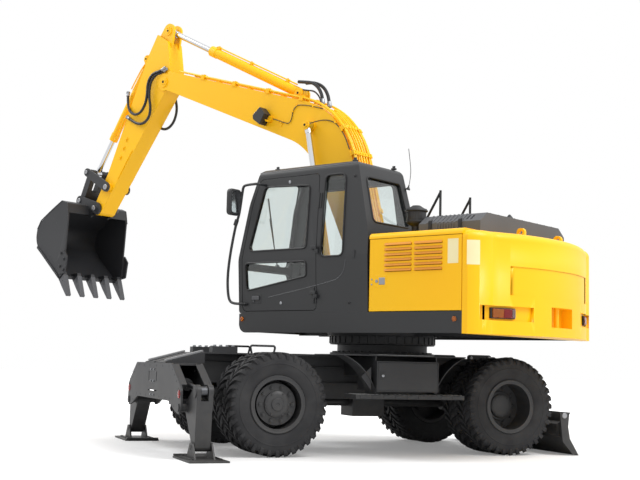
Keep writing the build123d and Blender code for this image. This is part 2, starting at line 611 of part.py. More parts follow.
def counterweight():
    """Cast tail with a bowed rear face, a hollow for the engine and recesses at the back."""
    corner_y = DECK_HALF - 250
    side_x = BAY_REAR - 60
    back_x = TAIL_BOW - TAIL_R
    plan = Line((BAY_REAR, -DECK_HALF), (BAY_REAR, DECK_HALF))
    plan += Line((BAY_REAR, DECK_HALF), (side_x, DECK_HALF))
    plan += ThreePointArc((side_x, DECK_HALF), (side_x - 85, DECK_HALF - 85), (back_x, corner_y))
    plan += ThreePointArc((back_x, corner_y), (-TAIL_R, 0), (back_x, -corner_y))
    plan += ThreePointArc((back_x, -corner_y), (side_x - 85, 85 - DECK_HALF), (side_x, -DECK_HALF))
    plan += Line((side_x, -DECK_HALF), (BAY_REAR, -DECK_HALF))
    tail = upright(make_face(plan), DECK_LOW - 5, CW_TOP)
    rim_edges = tail.faces().sort_by(Axis.Z)[-1].edges().filter_by(
        lambda e: (e @ 0.5).X < BAY_REAR - 1
    )
    tail = fillet(rim_edges, 80)
    tail -= block(BAY_REAR - 130, BAY_REAR + 1, 175 - DECK_HALF, DECK_HALF - 175, 1330, CW_TOP - 110)
    rim = [(TAIL_R + 200, 8, -DECK_HALF + 435, DECK_HALF - 435, 1620, 1900)]
    for side in (1, -1):
        low, high = sorted((side * (DECK_HALF - 735), side * (DECK_HALF - 85)))
        rim.append((TAIL_R + 200, 32, low, high, 1370, 1510))
    for outer, depth, y0, y1, z0, z1 in rim:
        skin = post(0, 0, z0, z1, outer) - post(0, 0, z0 - 1, z1 + 1, TAIL_R - depth)
        tail -= skin & block(-outer, BAY_REAR - 100, y0, y1, z0, z1)
    tail -= block(-TAIL_R - 1, 130 - TAIL_R, -TOW_HALF, TOW_HALF, 1330, 1530)
    tail += post(75 - TAIL_R, 0, 1320, 1535, 24)
    return tail


def tail_lamps():
    """Rear lamp clusters in the recesses of the counterweight."""
    skin = post(0, 0, 1395, 1485, TAIL_R - 8) - post(0, 0, 1390, 1490, TAIL_R - 32 + FIT)
    lamps = []
    for side in (1, -1):
        low, high = sorted((side * (DECK_HALF - 500), side * (DECK_HALF - 260)))
        lamps.append(skin & block(-TAIL_R, 0, low, high, 1390, 1490))
    return lamps


def lift_eyes():
    """Two lifting eyes on top of the counterweight."""
    x, z = LIFT_EYE
    plate = face([(x - 46, CW_TOP), (x + 46, CW_TOP), (x + 46, z + 44, 40), (x - 46, z + 44, 40)])
    return [across(plate, y - 20, y + 20) - pin(x, z, y - 21, y + 21, 20)
            for y in (LIFT_EYE_Y, -LIFT_EYE_Y)]


def engine_bay():
    """Bulkhead, roof frame and corner posts round the engine."""
    wall = block(BAY_FRONT - 20, BAY_FRONT, -DECK_HALF + PANEL + FIT, DECK_HALF - PANEL - FIT, DECK_TOP,
                 BAY_TOP - 20)
    roof_outline = face([
        (-DECK_HALF, BAY_TOP - 60), (-DECK_HALF, BAY_TOP, 55), (DECK_HALF, BAY_TOP, 55),
        (DECK_HALF, BAY_TOP - 60), (DECK_HALF - 24, BAY_TOP - 60), (DECK_HALF - 24, BAY_TOP - 24, 30),
        (-DECK_HALF + 24, BAY_TOP - 24, 30), (-DECK_HALF + 24, BAY_TOP - 60),
    ])
    roof = along(roof_outline, BAY_REAR + 2, BAY_FRONT)
    roof -= block(BAY_REAR + 60, HOOD_FRONT - 30, -HOOD_HALF + 40, HOOD_HALF - 40, BAY_TOP - 100,
                  BAY_TOP + 1)
    frame = wall + roof
    for side in (1, -1):
        for x in (BAY_REAR + 2, BAY_FRONT - 60):
            low, high = sorted((side * (DECK_HALF - PANEL - 46), side * (DECK_HALF - PANEL - 4)))
            frame += block(x, x + 40, low, high, DECK_TOP, BAY_TOP - 20)
    return frame


DOOR_Z0 = DECK_TOP + 6
DOOR_Z1 = BAY_TOP - 66
DOOR_X0 = BAY_REAR + 8
DOOR_X1 = BAY_FRONT - 8


def bay_door(side):
    """Side door of the engine bay with two columns of louvres."""
    low, high = sorted((side * (DECK_HALF - PANEL), side * DECK_HALF))
    door = block(DOOR_X0, DOOR_X1, low, high, DOOR_Z0, DOOR_Z1)
    for x0, x1 in ((-1600, -1280), (-1240, -920)):
        for k in range(6):
            z = 1850 + 52 * k
            door -= block(x0, x1, low - 1, high + 1, z, z + 26)
    return door


def hood():
    """Engine hood: a shallow lid with bevelled sides."""
    outer = face([
        (-HOOD_HALF, BAY_TOP + FIT), (-HOOD_HALF, BAY_TOP + 110), (-HOOD_HALF + 130, HOOD_TOP),
        (HOOD_HALF - 130, HOOD_TOP), (HOOD_HALF, BAY_TOP + 110), (HOOD_HALF, BAY_TOP + FIT),
    ])
    lid = along(outer, BAY_REAR + 20, HOOD_FRONT)
    inner = face([
        (-HOOD_HALF + 16, BAY_TOP), (-HOOD_HALF + 16, BAY_TOP + 100), (-HOOD_HALF + 140, HOOD_TOP - 16),
        (HOOD_HALF - 140, HOOD_TOP - 16), (HOOD_HALF - 16, BAY_TOP + 100), (HOOD_HALF - 16, BAY_TOP),
    ])
    lid -= along(inner, BAY_REAR + 36, HOOD_FRONT - 16)
    for side in (1, -1):
        low, high = sorted((side * (HOOD_HALF - 105), side * (HOOD_HALF - 30)))
        for k in range(11):
            x = HOOD_FRONT - 90 - 50 * k
            lid -= block(x - 22, x, low, high, BAY_TOP + 105, HOOD_TOP)
    return lid


def engine():
    """The engine as one block on its mounts."""
    return block(-1620, -1120, -450, 350, DECK_TOP, 2080)


def shell_box(x0, x1, y0, y1, z0, z1, radius, wall=8.0):
    """Sheet-metal box standing open on the deck, with rounded long edges on top."""
    corners = [(y0, z0), (y1, z0), (y1, z1, radius), (y0, z1, radius)]
    inner = [(y0 + wall, z0 - 1), (y1 - wall, z0 - 1), (y1 - wall, z1 - wall, radius - wall),
             (y0 + wall, z1 - wall, radius - wall)]
    return along(face(corners), x0, x1) - along(face(inner), x0 + wall, x1 - wall)


def right_side():
    """Fuel tank, oil tank and front step box on the right."""
    low, high = -DECK_HALF + 20, -CAB_IN - 20
    tank = shell_box(BAY_FRONT + 10, -120, low, high, DECK_TOP, 2180, 60)
    oil = shell_box(-110, 420, low, high, DECK_TOP, 2080, 60)
    step = shell_box(430, 730, low, high, DECK_TOP, 1800, 40)
    step += shell_box(729, DECK_FRONT - 40, low, high, DECK_TOP, 1620, 40)
    return [tank, oil, step]


CAB_SIDE = [
    (-715, DECK_TOP + FIT), (1073, DECK_TOP + FIT, 40), (1110, 2060, 400), (1010, 2670, 500),
    (880, CAB_TOP, 70), (-490, CAB_TOP - 20, 90), (-690, 2260, 500),
]
CAB_SECTION = [
    (CAB_IN, DECK_TOP + FIT), (DECK_HALF, DECK_TOP + FIT), (DECK_HALF, 2040, 500),
    (DECK_HALF - 90, CAB_TOP, 90), (CAB_IN + 40, CAB_TOP, 90), (CAB_IN, 2040, 500),
]
DOOR_OUTLINE = [
    (-35, 1478, 40), (1015, 1478, 60), (1052, 2060, 400), (960, 2660, 400), (868, 2945, 60),
    (20, 2945, 50),
]
DOOR_WINDOWS = [
    [(970, 2140, 60), (800, 2860, 60), (140, 2830, 50), (130, 2140, 50)],
    [(970, 1700, 50), (1005, 2010, 50), (120, 2000, 40), (110, 1840, 40)],
]
REAR_SIDE_WINDOW = [(-70, 2040, 60), (-70, 2920, 60), (-345, 2920, 80), (-375, 2040, 60)]
RIGHT_WINDOW = [(940, 2060, 80), (780, 2900, 80), (-380, 2900, 80), (-500, 2060, 60)]
CAB_OUT = DECK_HALF - 85   # outer edge of the front windows
SEAT_Y = (CAB_IN + DECK_HALF) / 2 - 15
FRONT_WINDOWS = [
    [(CAB_IN + 85, 2020, 60), (CAB_OUT, 2020, 60), (CAB_OUT - 65, 2975, 60), (CAB_IN + 125, 2975, 60)],
    [(CAB_IN + 85, 1560, 60), (CAB_OUT, 1560, 60), (CAB_OUT, 1950, 60), (CAB_IN + 85, 1950, 60)],
]
BACK_WINDOW = [(CAB_IN + 115, 2390, 60), (CAB_OUT - 60, 2390, 60), (CAB_OUT - 90, 2880, 60),
               (CAB_IN + 135, 2880, 60)]


def cab_form(inset):
    """The cab's outer form, or the same drawn in by an inset."""
    side = face(CAB_SIDE)
    section = face(CAB_SECTION)
    if inset:
        side = offset(side, -inset)
        section = offset(section, -inset)
    return across(side, 0, 1400) & along(section, -1200, 1500)


def cab_cuts():
    """Prisms of the fixed windows."""
    cuts = [across(face(REAR_SIDE_WINDOW), DECK_HALF - 335, DECK_HALF + 165)]
    cuts.append(across(face(RIGHT_WINDOW), CAB_IN - 115, CAB_IN + 185))
    cuts += [along(face(window), 700, 1400) for window in FRONT_WINDOWS]
    cuts.append(along(face(BACK_WINDOW), -900, -300))
    return cuts


def cab():
    """Cab shell, its glass, the door and the door's glass."""
    shell = cab_form(0) - cab_form(CAB_WALL)
    pane = cab_form(18) - cab_form(18 + GLASS)
    inside = DECK_HALF - CAB_WALL
    near, far = DECK_HALF - 235, DECK_HALF + 165
    opening = across(offset(face(DOOR_OUTLINE), CLEAR), near, far)
    opening -= block(-200, 1200, near - 100, inside - CLEAR, DECK_TOP, 1560)
    leaf = across(face(DOOR_OUTLINE), near, far)
    leaf -= block(-200, 1200, near - 100, inside, DECK_TOP, 1560)
    door_cuts = [across(face(window), near, far) for window in DOOR_WINDOWS]
    door = shell & leaf
    shell -= opening
    glass = []
    for cut in cab_cuts():
        shell -= cut
        glass += (pane & cut).solids()
    door_glass = []
    for cut in door_cuts:
        door -= cut
        door_glass += (pane & cut).solids()
    x, y = DOOR_HINGE
    for z in (1640, 2120):
        shell += post(x, y, z - 40, z, HINGE_R) + block(x - 34, x, y - 8, y + 8, z - 40, z)
        shell += block(x - 34, x - 13, inside, y, z - 40, z)
        door += post(x, y, z + FIT, z + 40, HINGE_R) + block(x, x + 64, y - 8, y + 8, z + FIT, z + 40)
        door += block(x + 34, x + 64, inside, y, z + FIT, z + 40)
    return shell, glass, door, door_glass


def seat():
    """Operator's seat on its pedestal."""
    base = block(-180, 220, SEAT_Y - 200, SEAT_Y + 200, CAB_FLOOR, 1760)
    cushion = block(-200, 300, SEAT_Y - 230, SEAT_Y + 230, 1760 + FIT, 1880)
    back = across(face([(-230, 1880 + FIT, 30), (-110, 1880 + FIT, 30), (-200, 2560, 50), (-300, 2560, 50)]),
                  SEAT_Y - 210, SEAT_Y + 210)
    return [base, cushion, back]


def controls():
    """Side consoles with levers, steering column and wheel."""
    pieces = []
    for y in (CAB_IN + 135, DECK_HALF - 245):
        console = block(-150, 330, y, y + 70, CAB_FLOOR, 1960)
        console += post(290, y + 35, 1955, 2080, 22)
        pieces.append(console)
    column = across(face([(620, CAB_FLOOR), (760, CAB_FLOOR), (640, 2030), (580, 2030)]),
                    SEAT_Y - 40, SEAT_Y + 40)
    ring = Pos(600, SEAT_Y, 2040) * Rot(0, -20, 0) * Torus(170, 14)
    spokes = Pos(600, SEAT_Y, 2030) * Rot(0, -20, 0) * Box(330, 30, 14)
    pieces.append(column + ring + spokes)
    return pieces


def mirrors():
    """Left mirror on its arm with the long handrail beside the cab front."""
    y = DECK_HALF + 55
    rail = FilletPolyline((880, y - 180, 2905), (1200, y - 30, 2905), (1290, y, 2000),
                          (1255, y, 1580), (1030, y - 90, 1580), radius=30)
    bar = sweep(Plane(rail @ 0, z_dir=rail % 0) * Circle(11), rail)
    head = face([(y - 20, 2580, 30), (y + 150, 2580, 30), (y + 150, 2860, 30), (y - 20, 2860, 30)])
    bar += along(head, 1205, 1260)
    return bar - cab_form(-FIT)


def pre_cleaner():
    """Air pre-cleaner bowl on its stack."""
    return Pos(-950, 735, 0) * turned([
        (0, BAY_TOP), (48, BAY_TOP), (48, BAY_TOP + 110), (100, BAY_TOP + 140),
        (105, BAY_TOP + 260), (85, BAY_TOP + 300), (40, BAY_TOP + 330), (0, BAY_TOP + 330),
    ])


# ---------------------------------------------------------------- boom, arm and bucket
def boom():
    """Bent box boom with a fork for the arm and lugs for its cylinders."""
    outline = [
        (-66, 88), (1699, 1388, 1100), (4620, 160), (4640, -105), (1838, 754, 850), (66, -88),
    ]
    body = across(face(outline), -BOOM_HALF, BOOM_HALF)
    body += pin(0, 0, -BOOM_HALF, BOOM_HALF, 112)
    body += pin(BOOM_L, 0, -BOOM_HALF, BOOM_HALF, 118)
    hollow = [
        (90, 85), (1699, 1388 - 18, 1080), (4330, 262), (4330, 10), (1838, 754 + 16, 866),
        (150, -30),
    ]
    body -= across(face(hollow), BOOM_WALL - BOOM_HALF, BOOM_HALF - BOOM_WALL)
    gap = ARM_HALF + CLEAR
    body -= block(4330, 4900, -gap, gap, -400, 500)
    body -= pin(0, 0, -BOOM_HALF - 1, BOOM_HALF + 1, 50 + FIT)
    lug = strap((ARM_CYL_BASE[0] - 80, ARM_CYL_BASE[1] - 180), 120, ARM_CYL_BASE, 68)
    ear = ARM_SIZE["eye_w"] / 2 + 1.5
    for y in (-ear - 26, ear):
        body += across(lug, y, y + 26)
    body += pin(*ARM_CYL_BASE, -ear, ear, ARM_SIZE["pin_r"])
    for side in (1, -1):
        body += pin(*BOOM_CYL_PIN, side * BOOM_HALF, side * (BOOM_CYL_Y - 49), 64)
    x, z = WORK_LAMP
    body += block(x - 60, x + 20, BOOM_HALF - 5, BOOM_HALF + 70, z - 6, z + 6)
    body += Pos(x + 40, BOOM_HALF + 60, z + 10) * Rot(0, 70, 0) * Cylinder(58, 70)
    body += pin(BOOM_L, 0, -BOOM_HALF, BOOM_HALF, 45)
    return body


def arm():
    """Tapered box arm with a head for its cylinder and the bucket cylinder's lugs."""
    outline = [
        (ARM_L, -90), (60, -72), (-120, -20, 60), (-450, 350, 40), (-425, 601, 20),
        (-120, 565, 150), (200, 495, 600), (1610, 157, 600), (ARM_L, 90),
    ]
    body = across(face(outline), -ARM_HALF, ARM_HALF)
    body += pin(0, 0, -ARM_HALF, ARM_HALF, 105)
    body += pin(ARM_L, 0, -ARM_HALF, ARM_HALF, 92)
    hollow = [
        (1650, -78), (150, -60), (-90, 10, 60), (-430, 370), (-500, 480), (-400, 587),
        (-125, 550, 140), (197, 481, 580), (1600, 140),
    ]
    body -= across(face(hollow), ARM_WALL - ARM_HALF, ARM_HALF - ARM_WALL)
    head = strap((-380, 440), 150, ARM_CYL_PIN, 105)
    head_ear = ARM_SIZE["eye_w"] / 2 + 7
    for y in (-head_ear - 30, head_ear):
        body += across(head, y, y + 30)
    ear = BUCKET_SIZE["eye_w"] / 2 + 1.5
    lug = strap((-60, 500), 90, BUCKET_CYL_BASE, 60)
    for y in (-ear - 24, ear):
        body += across(lug, y, y + 24)
    body += pin(*BUCKET_CYL_BASE, -ear, ear, BUCKET_SIZE["pin_r"])
    body -= pin(0, 0, -ARM_HALF - 1, ARM_HALF + 1, 45 + FIT)
    body -= pin(ARM_L, 0, -ARM_HALF - 1, ARM_HALF + 1, PIN_R + FIT)
    body += pin(*ROCKER_PIN, FIT - ROCKER_IN, ROCKER_IN - FIT, 60)
    body += pin(*ROCKER_PIN, -ROCKER_OUT - CLEAR, ROCKER_OUT + CLEAR, PIN_R - 2)
    return body


def bucket():
    """Digging bucket with ears, teeth and side cutters."""
    half = BUCKET_W / 2
    outline = [
        (77, -182), (176, -13, 20), (294, -16), (451, -187, 60), (690, -500, 220),
        (640, -740, 260), (432, -865, 300), (-83, -1055), (-147, -955),
    ]
    inside = [
        (60, -190), (188, -32, 10), (290, -38), (440, -205, 50), (668, -508, 200),
        (620, -730, 240), (424, -845, 280), (-72, -1032), (-170, -960),
    ]
    shell = across(face(outline), -half, half)
    shell -= across(face(inside), 22 - half, half - 22)
    for side in (1, -1):
        low, high = sorted((side * (ARM_HALF + CLEAR), side * (ARM_HALF + CLEAR + EAR_W)))
        ear = strap((0, 0), 88, (BUCKET_LEVER, 0), 70)
        root = face([(60, -150), (0, 0), (BUCKET_LEVER, 0), (440, -190)])
        shell += across(ear + root, low, high)
        low, high = sorted((side * half, side * (half + 22)))
        cutter = face([(-60, -640), (-160, -700), (-205, -930, 30), (-100, -990), (60, -900, 40)])
        shell += across(cutter, low, high)
    tooth = face([(20, -1010), (-125, -940), (-330, -1200), (-318, -1222), (-75, -1075)])
    for k in range(5):
        y = (k - 2) * (BUCKET_W - 100) / 4
        shell += across(tooth, y - 32, y + 32)
    shell += pin(0, 0, 3 * FIT - ROCKER_IN, ROCKER_IN - 3 * FIT, PIN_R)
    return shell


def rocker():
    """Two curved side plates from the arm to the cylinder's rod."""
    plates = []
    for side in (1, -1):
        low, high = sorted((side * ROCKER_IN, side * ROCKER_OUT))
        plate = across(strap(ROCKER_FOOT, 66, ROCKER_TOP, 58), low, high)
        plate -= pin(*ROCKER_FOOT, low - 1, high + 1, PIN_R - 2 + FIT)
        plates.append(plate)
        stub = BUCKET_SIZE["eye_w"] / 2 + 12
        plates.append(pin(*ROCKER_TOP, side * stub, side * (ROCKER_OUT + CLEAR), PIN_R - 8))
    return [plates[0] + plates[1], plates[2] + plates[3]]


def bucket_link():
    """H-shaped link with a slot, from the rocker to the bucket."""
    body = across(strap(ROCKER_TOP, 52, BUCKET_LINK_PIN, 52), -ARM_HALF, ARM_HALF)
    middle = ((ROCKER_TOP[0] + BUCKET_LINK_PIN[0]) / 2, (ROCKER_TOP[1] + BUCKET_LINK_PIN[1]) / 2)
    gap = BUCKET_SIZE["eye_w"] / 2 + 8
    body -= across(strap(ROCKER_TOP, 95, middle, 70), -gap, gap)
    return body - pin(*ROCKER_TOP, -200, 200, PIN_R - 8 + FIT)


# ---------------------------------------------------------------- assembly
def upper(shape):
    """Turns a piece of the upper works to its heading."""
    return Rot(0, 0, SWING) * shape


def build():
    """Makes every node, as a list of solids in the carrier's frame."""
    carrier = {
        "chassis": chassis(), "slew_ring": slew_ring(), "front_axle": front_axle(),
        "rear_axle": rear_axle(), "driveline": driveline(), "steering_rod": steering_rod(),
        "side_boxes": [side_box(1), side_box(-1)], "side_box_door": box_door(),
        "outrigger_box": outrigger_box(), "blade": blade(),
    }
    for word, side in (("left", 1), ("right", -1)):
        carrier[f"knuckle_{word}"] = knuckle(side)
        for place_word, front in (("front", True), ("rear", False)):
            carrier[f"rims_{place_word}_{word}"] = rim(side, front)
            carrier[f"tyres_{place_word}_{word}"] = tyres(side, front)
        carrier[f"outrigger_leg_{word}"] = outrigger_leg(side)
        carrier[f"outrigger_foot_{word}"] = outrigger_foot(side)
        barrel, rod = outrigger_ram(side)
        carrier[f"outrigger_barrel_{word}"] = barrel
        carrier[f"outrigger_rod_{word}"] = rod
    rams = [ram(BLADE_TOP_PIN, BLADE_LOW_PIN, BLADE_SIZE, y) for y in (BLADE_CYL_Y, -BLADE_CYL_Y)]
    carrier["blade_barrels"] = [r[0] for r in rams]
    carrier["blade_rods"] = [r[1] for r in rams]

    shell, glass, door, door_glass = cab()
    works = {
        "upper_ring": upper_ring(), "deck": deck(), "counterweight": counterweight(),
        "lift_eyes": lift_eyes(), "tail_lamps": tail_lamps(),
        "engine_bay": engine_bay(), "bay_door_left": bay_door(1), "bay_door_right": bay_door(-1),
        "hood": hood(), "engine": engine(), "right_tanks": right_side(), "cab_shell": shell,
        "cab_glass": glass, "cab_door": door, "cab_door_glass": door_glass, "seat": seat(),
        "controls": controls(), "handrail": mirrors(), "pre_cleaner": pre_cleaner(),
    }
    boom_pin = place(BOOM_FOOT, BOOM_ANGLE, BOOM_CYL_PIN)
    rams = [ram(BOOM_CYL_BASE, boom_pin, BOOM_SIZE, y) for y in (BOOM_CYL_Y, -BOOM_CYL_Y)]
    works["boom_barrels"] = [r[0] for r in rams]
    works["boom_rods"] = [r[1] for r in rams]
    works["arm_barrel"], works["arm_rod"] = ram(
        place(BOOM_FOOT, BOOM_ANGLE, ARM_CYL_BASE), place(ARM_PIVOT, ARM_ANGLE, ARM_CYL_PIN), ARM_SIZE
    )
    works["bucket_barrel"], works["bucket_rod"] = ram(
        place(ARM_PIVOT, ARM_ANGLE, BUCKET_CYL_BASE), ROCKER_TOP, BUCKET_SIZE
    )
    works["boom"] = in_plane(BOOM_FOOT, BOOM_ANGLE, boom())
    works["arm"] = in_plane(ARM_PIVOT, ARM_ANGLE, arm())
    works["bucket"] = in_plane(BUCKET_PIN, BUCKET_ANGLE, bucket())
    works["rocker"] = rocker()
    works["bucket_link"] = bucket_link()

    nodes = {}
    for name, made in carrier.items():
        nodes[name] = made if isinstance(made, list) else [made]
    for name, made in works.items():
        pieces = made if isinstance(made, list) else [made]
        nodes[name] = [upper(piece) for piece in pieces]
    return nodes


NODES = build()
WHOLE = Compound([solid for pieces in NODES.values() for piece in pieces for solid in piece.solids()])
BOX = WHOLE.bounding_box()
ORIGIN = ((BOX.min.X + BOX.max.X) / 2, (BOX.min.Y + BOX.max.Y) / 2)

os.makedirs("parts", exist_ok=True)
for name, pieces in NODES.items():
    solids = [Pos(-ORIGIN[0], -ORIGIN[1], 0) * s for piece in pieces for s in piece.solids()]
    export_step(solids[0] if len(solids) == 1 else Compound(solids), f"parts/{name}.step")
    print(f"{name:24s} {len(solids)} solid(s) {sum(s.volume for s in solids) / 1e9:8.4f} m3")
print("origin in the carrier's frame", ORIGIN, "size", BOX.size)
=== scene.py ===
# %% [markdown]
# # A wheeled excavator, dressed for its portrait
#
# The CAD model of the machine is already here as a fixed frame: every plate, pin and cylinder
# sits where it belongs, in metres. This file gives it what CAD leaves out: paint, rubber, glass,
# hoses, bolts, lamps and road tread. It is read from top to bottom, one cell at a time.
#
# The first cell loads the frame, and keeps the box round it. The box round it is kept, because
# what we add has to stay inside it.

# %% Load the frame
import json
from math import cos, pi, radians, sin

import bmesh
import bpy
from mathutils import Matrix, Vector


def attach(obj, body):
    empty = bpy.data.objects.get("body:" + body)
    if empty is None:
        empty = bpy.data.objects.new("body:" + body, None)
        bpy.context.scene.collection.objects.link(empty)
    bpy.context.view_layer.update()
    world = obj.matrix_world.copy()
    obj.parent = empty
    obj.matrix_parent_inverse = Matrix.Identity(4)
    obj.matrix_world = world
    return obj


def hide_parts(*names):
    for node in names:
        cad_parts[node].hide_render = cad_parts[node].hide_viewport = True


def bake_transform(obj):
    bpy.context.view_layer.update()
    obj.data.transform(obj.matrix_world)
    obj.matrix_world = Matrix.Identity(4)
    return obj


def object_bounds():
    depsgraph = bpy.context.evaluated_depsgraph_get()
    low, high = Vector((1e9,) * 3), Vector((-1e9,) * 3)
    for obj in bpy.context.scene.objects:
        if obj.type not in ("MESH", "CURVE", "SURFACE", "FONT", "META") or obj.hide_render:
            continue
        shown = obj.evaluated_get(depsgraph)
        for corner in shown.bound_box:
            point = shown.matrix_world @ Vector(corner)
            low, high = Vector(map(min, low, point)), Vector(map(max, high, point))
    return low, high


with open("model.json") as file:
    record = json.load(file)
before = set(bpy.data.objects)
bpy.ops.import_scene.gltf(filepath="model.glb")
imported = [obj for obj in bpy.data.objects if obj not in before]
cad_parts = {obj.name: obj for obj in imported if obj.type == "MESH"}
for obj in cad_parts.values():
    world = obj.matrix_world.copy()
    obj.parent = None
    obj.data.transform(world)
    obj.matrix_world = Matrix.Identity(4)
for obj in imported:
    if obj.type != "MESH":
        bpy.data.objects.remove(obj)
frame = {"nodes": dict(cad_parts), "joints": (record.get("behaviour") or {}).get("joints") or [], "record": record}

CAD_BOX = [list(corner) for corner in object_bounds()]
NODES = frame["nodes"]
BODY_OF = {n: b for b, names in frame["record"]["behaviour"]["bodies"].items() for n in names}
JOINTS = {joint["name"]: joint for joint in frame["joints"]}

# %% [markdown]
# ## Places to work in
#
# A real machine is built from sub-assemblies, and each was drawn in its own upright frame. The
# joints of the CAD model tell where those frames are now: the swing joint gives the middle of
# the carrier, and the pins of boom, arm and bucket give the rest. Each frame is a matrix that
# takes millimetres, as a drawing has them, to metres in the scene.

# %% Frames of the sub-assemblies
MM = 0.001


def pin_of(name):
    """Where a joint's pin is, in metres."""
    return Vector(JOINTS[name]["pos_m"])


def frame_from(origin, along, left):
    """Matrix of a frame in millimetres: X along, Y to the left, Z across both."""
    x = Vector(along).normalized()
    y = Vector(left).normalized()
    z = x.cross(y)
    turn = Matrix((x, y, z)).transposed().to_4x4()
    return Matrix.Translation(origin) @ turn @ Matrix.Scale(MM, 4)


swing = pin_of("swing")
ground = Vector((swing.x, swing.y, 0))
CARRIER = frame_from(ground, (1, 0, 0), (0, 1, 0))
LEFT = -Vector(JOINTS["boom"]["axis"])
AHEAD = LEFT.cross(Vector((0, 0, 1)))
UPPER = frame_from(ground, AHEAD, LEFT)
BOOM = frame_from(pin_of("boom"), pin_of("arm") - pin_of("boom"), LEFT)
ARM = frame_from(pin_of("arm"), pin_of("bucket") - pin_of("arm"), LEFT)
BUCKET_TILT = radians(20.4)   # pin to pin, above level
bucket_ahead = cos(BUCKET_TILT) * AHEAD + sin(BUCKET_TILT) * Vector((0, 0, 1))
BUCKET = frame_from(pin_of("bucket"), bucket_ahead, LEFT)
print("swing axis at", tuple(round(v, 3) for v in swing), "boom", round(BOOM.to_scale()[0], 4))

# %% [markdown]
# ## Colours and nodes
#
# Paint makers give colours as sRGB hex values, while the renderer works in linear light, so one
# function turns the first into the second. Every material below is a small tree of shader
# nodes, and one function adds a node with its settings and links.

# %% Helpers for materials
def linear(code):
    """sRGB hex to linear RGBA."""
    parts = [int(code[i:i + 2], 16) / 255 for i in (0, 2, 4)]
    low = [p / 12.92 if p <= 0.04045 else ((p + 0.055) / 1.055) ** 2.4 for p in parts]
    return (*low, 1.0)


def wire(tree, node, inputs):
    """Links or fills the inputs of a node."""
    for name, value in inputs.items():
        if isinstance(value, bpy.types.NodeSocket):
            tree.links.new(value, node.inputs[name])
        else:
            node.inputs[name].default_value = value


def add(tree, kind, inputs=None, **settings):
    """Adds a node, sets it up and wires its inputs."""
    node = tree.nodes.new(kind)
    for name, value in settings.items():
        setattr(node, name, value)
    wire(tree, node, inputs or {})
    return node


print("white is", [round(v, 3) for v in linear("FFFFFF")])

# %% [markdown]
# Five kinds of nodes come back in nearly every material: cloudy noise, fine relief, a range of
# values stretched to another, two values multiplied and two colours mixed. Each gets a function
# of its own, which hands back the output that the next node needs.

# %% Nodes that come back
def noise(tree, coords, scale, detail=2.0):
    """Cloudy noise; scale is per metre."""
    inputs = {"Vector": coords, "Scale": scale, "Detail": detail}
    return add(tree, "ShaderNodeTexNoise", inputs).outputs["Fac"]


def relief(tree, height, strength, depth):
    """Normal of a surface with fine relief, its depth in metres."""
    inputs = {"Height": height, "Strength": strength, "Distance": depth}
    return add(tree, "ShaderNodeBump", inputs).outputs["Normal"]


def stretch(tree, value, low, high, start=0.0, end=1.0):
    """Stretches the values between start and end to those between low and high."""
    inputs = {"Value": value, "From Min": start, "From Max": end, "To Min": low, "To Max": high}
    return add(tree, "ShaderNodeMapRange", inputs).outputs["Result"]


def both(tree, a, b, operation="MULTIPLY"):
    """Two values multiplied, or joined by another operation."""
    return add(tree, "ShaderNodeMath", {0: a, 1: b}, operation=operation).outputs[0]


def mix(tree, share, a, b):
    """Share of colour b over colour a."""
    inputs = {"Factor": share, "A": a, "B": b}
    return add(tree, "ShaderNodeMix", inputs, data_type="RGBA").outputs["Result"]


def ramp(tree, source, stops):
    """Colour ramp from (position, colour) pairs."""
    node = add(tree, "ShaderNodeValToRGB", {"Fac": source})
    elements = node.color_ramp.elements
    while len(elements) < len(stops):
        elements.new(0.5)
    for element, (position, colour) in zip(elements, stops):
        element.position = position
        element.color = colour
    return node.outputs["Color"]


def grey(value):
    """A grey as linear RGBA."""
    return (value, value, value, 1.0)


def new_material(name):
    """Empty material with its shader and the object's own coordinates."""
    material = bpy.data.materials.new(name)
    material.use_nodes = True
    tree = material.node_tree
    tree.nodes.clear()
    shader = add(tree, "ShaderNodeBsdfPrincipled")
    add(tree, "ShaderNodeOutputMaterial", {"Surface": shader.outputs["BSDF"]})
    coords = add(tree, "ShaderNodeTexCoord").outputs["Object"]
    return material, tree, shader, coords


print("helpers ready")

# %% [markdown]
# ## Sprayed enamel
#
# The plates are sprayed with a two-pack enamel. Close to, such paint has orange peel, a fine
# ripple of about 3 mm, and its gloss varies a little over a metre or so. On edges that get
# knocked it thins, so a brighter line shows there. The same recipe makes every painted piece:
# only colour, gloss and wear differ. Pointiness tells the shader where an edge is.

# %% Paint
ORANGE_PEEL = 1 / 0.003   # ripples per metre
PEEL_DEPTH = 0.0006       # metres
BLOTCH = 1 / 0.9          # patches of gloss per metre
DUST_TOP = 1.1            # metres above the ground, where the dust ends


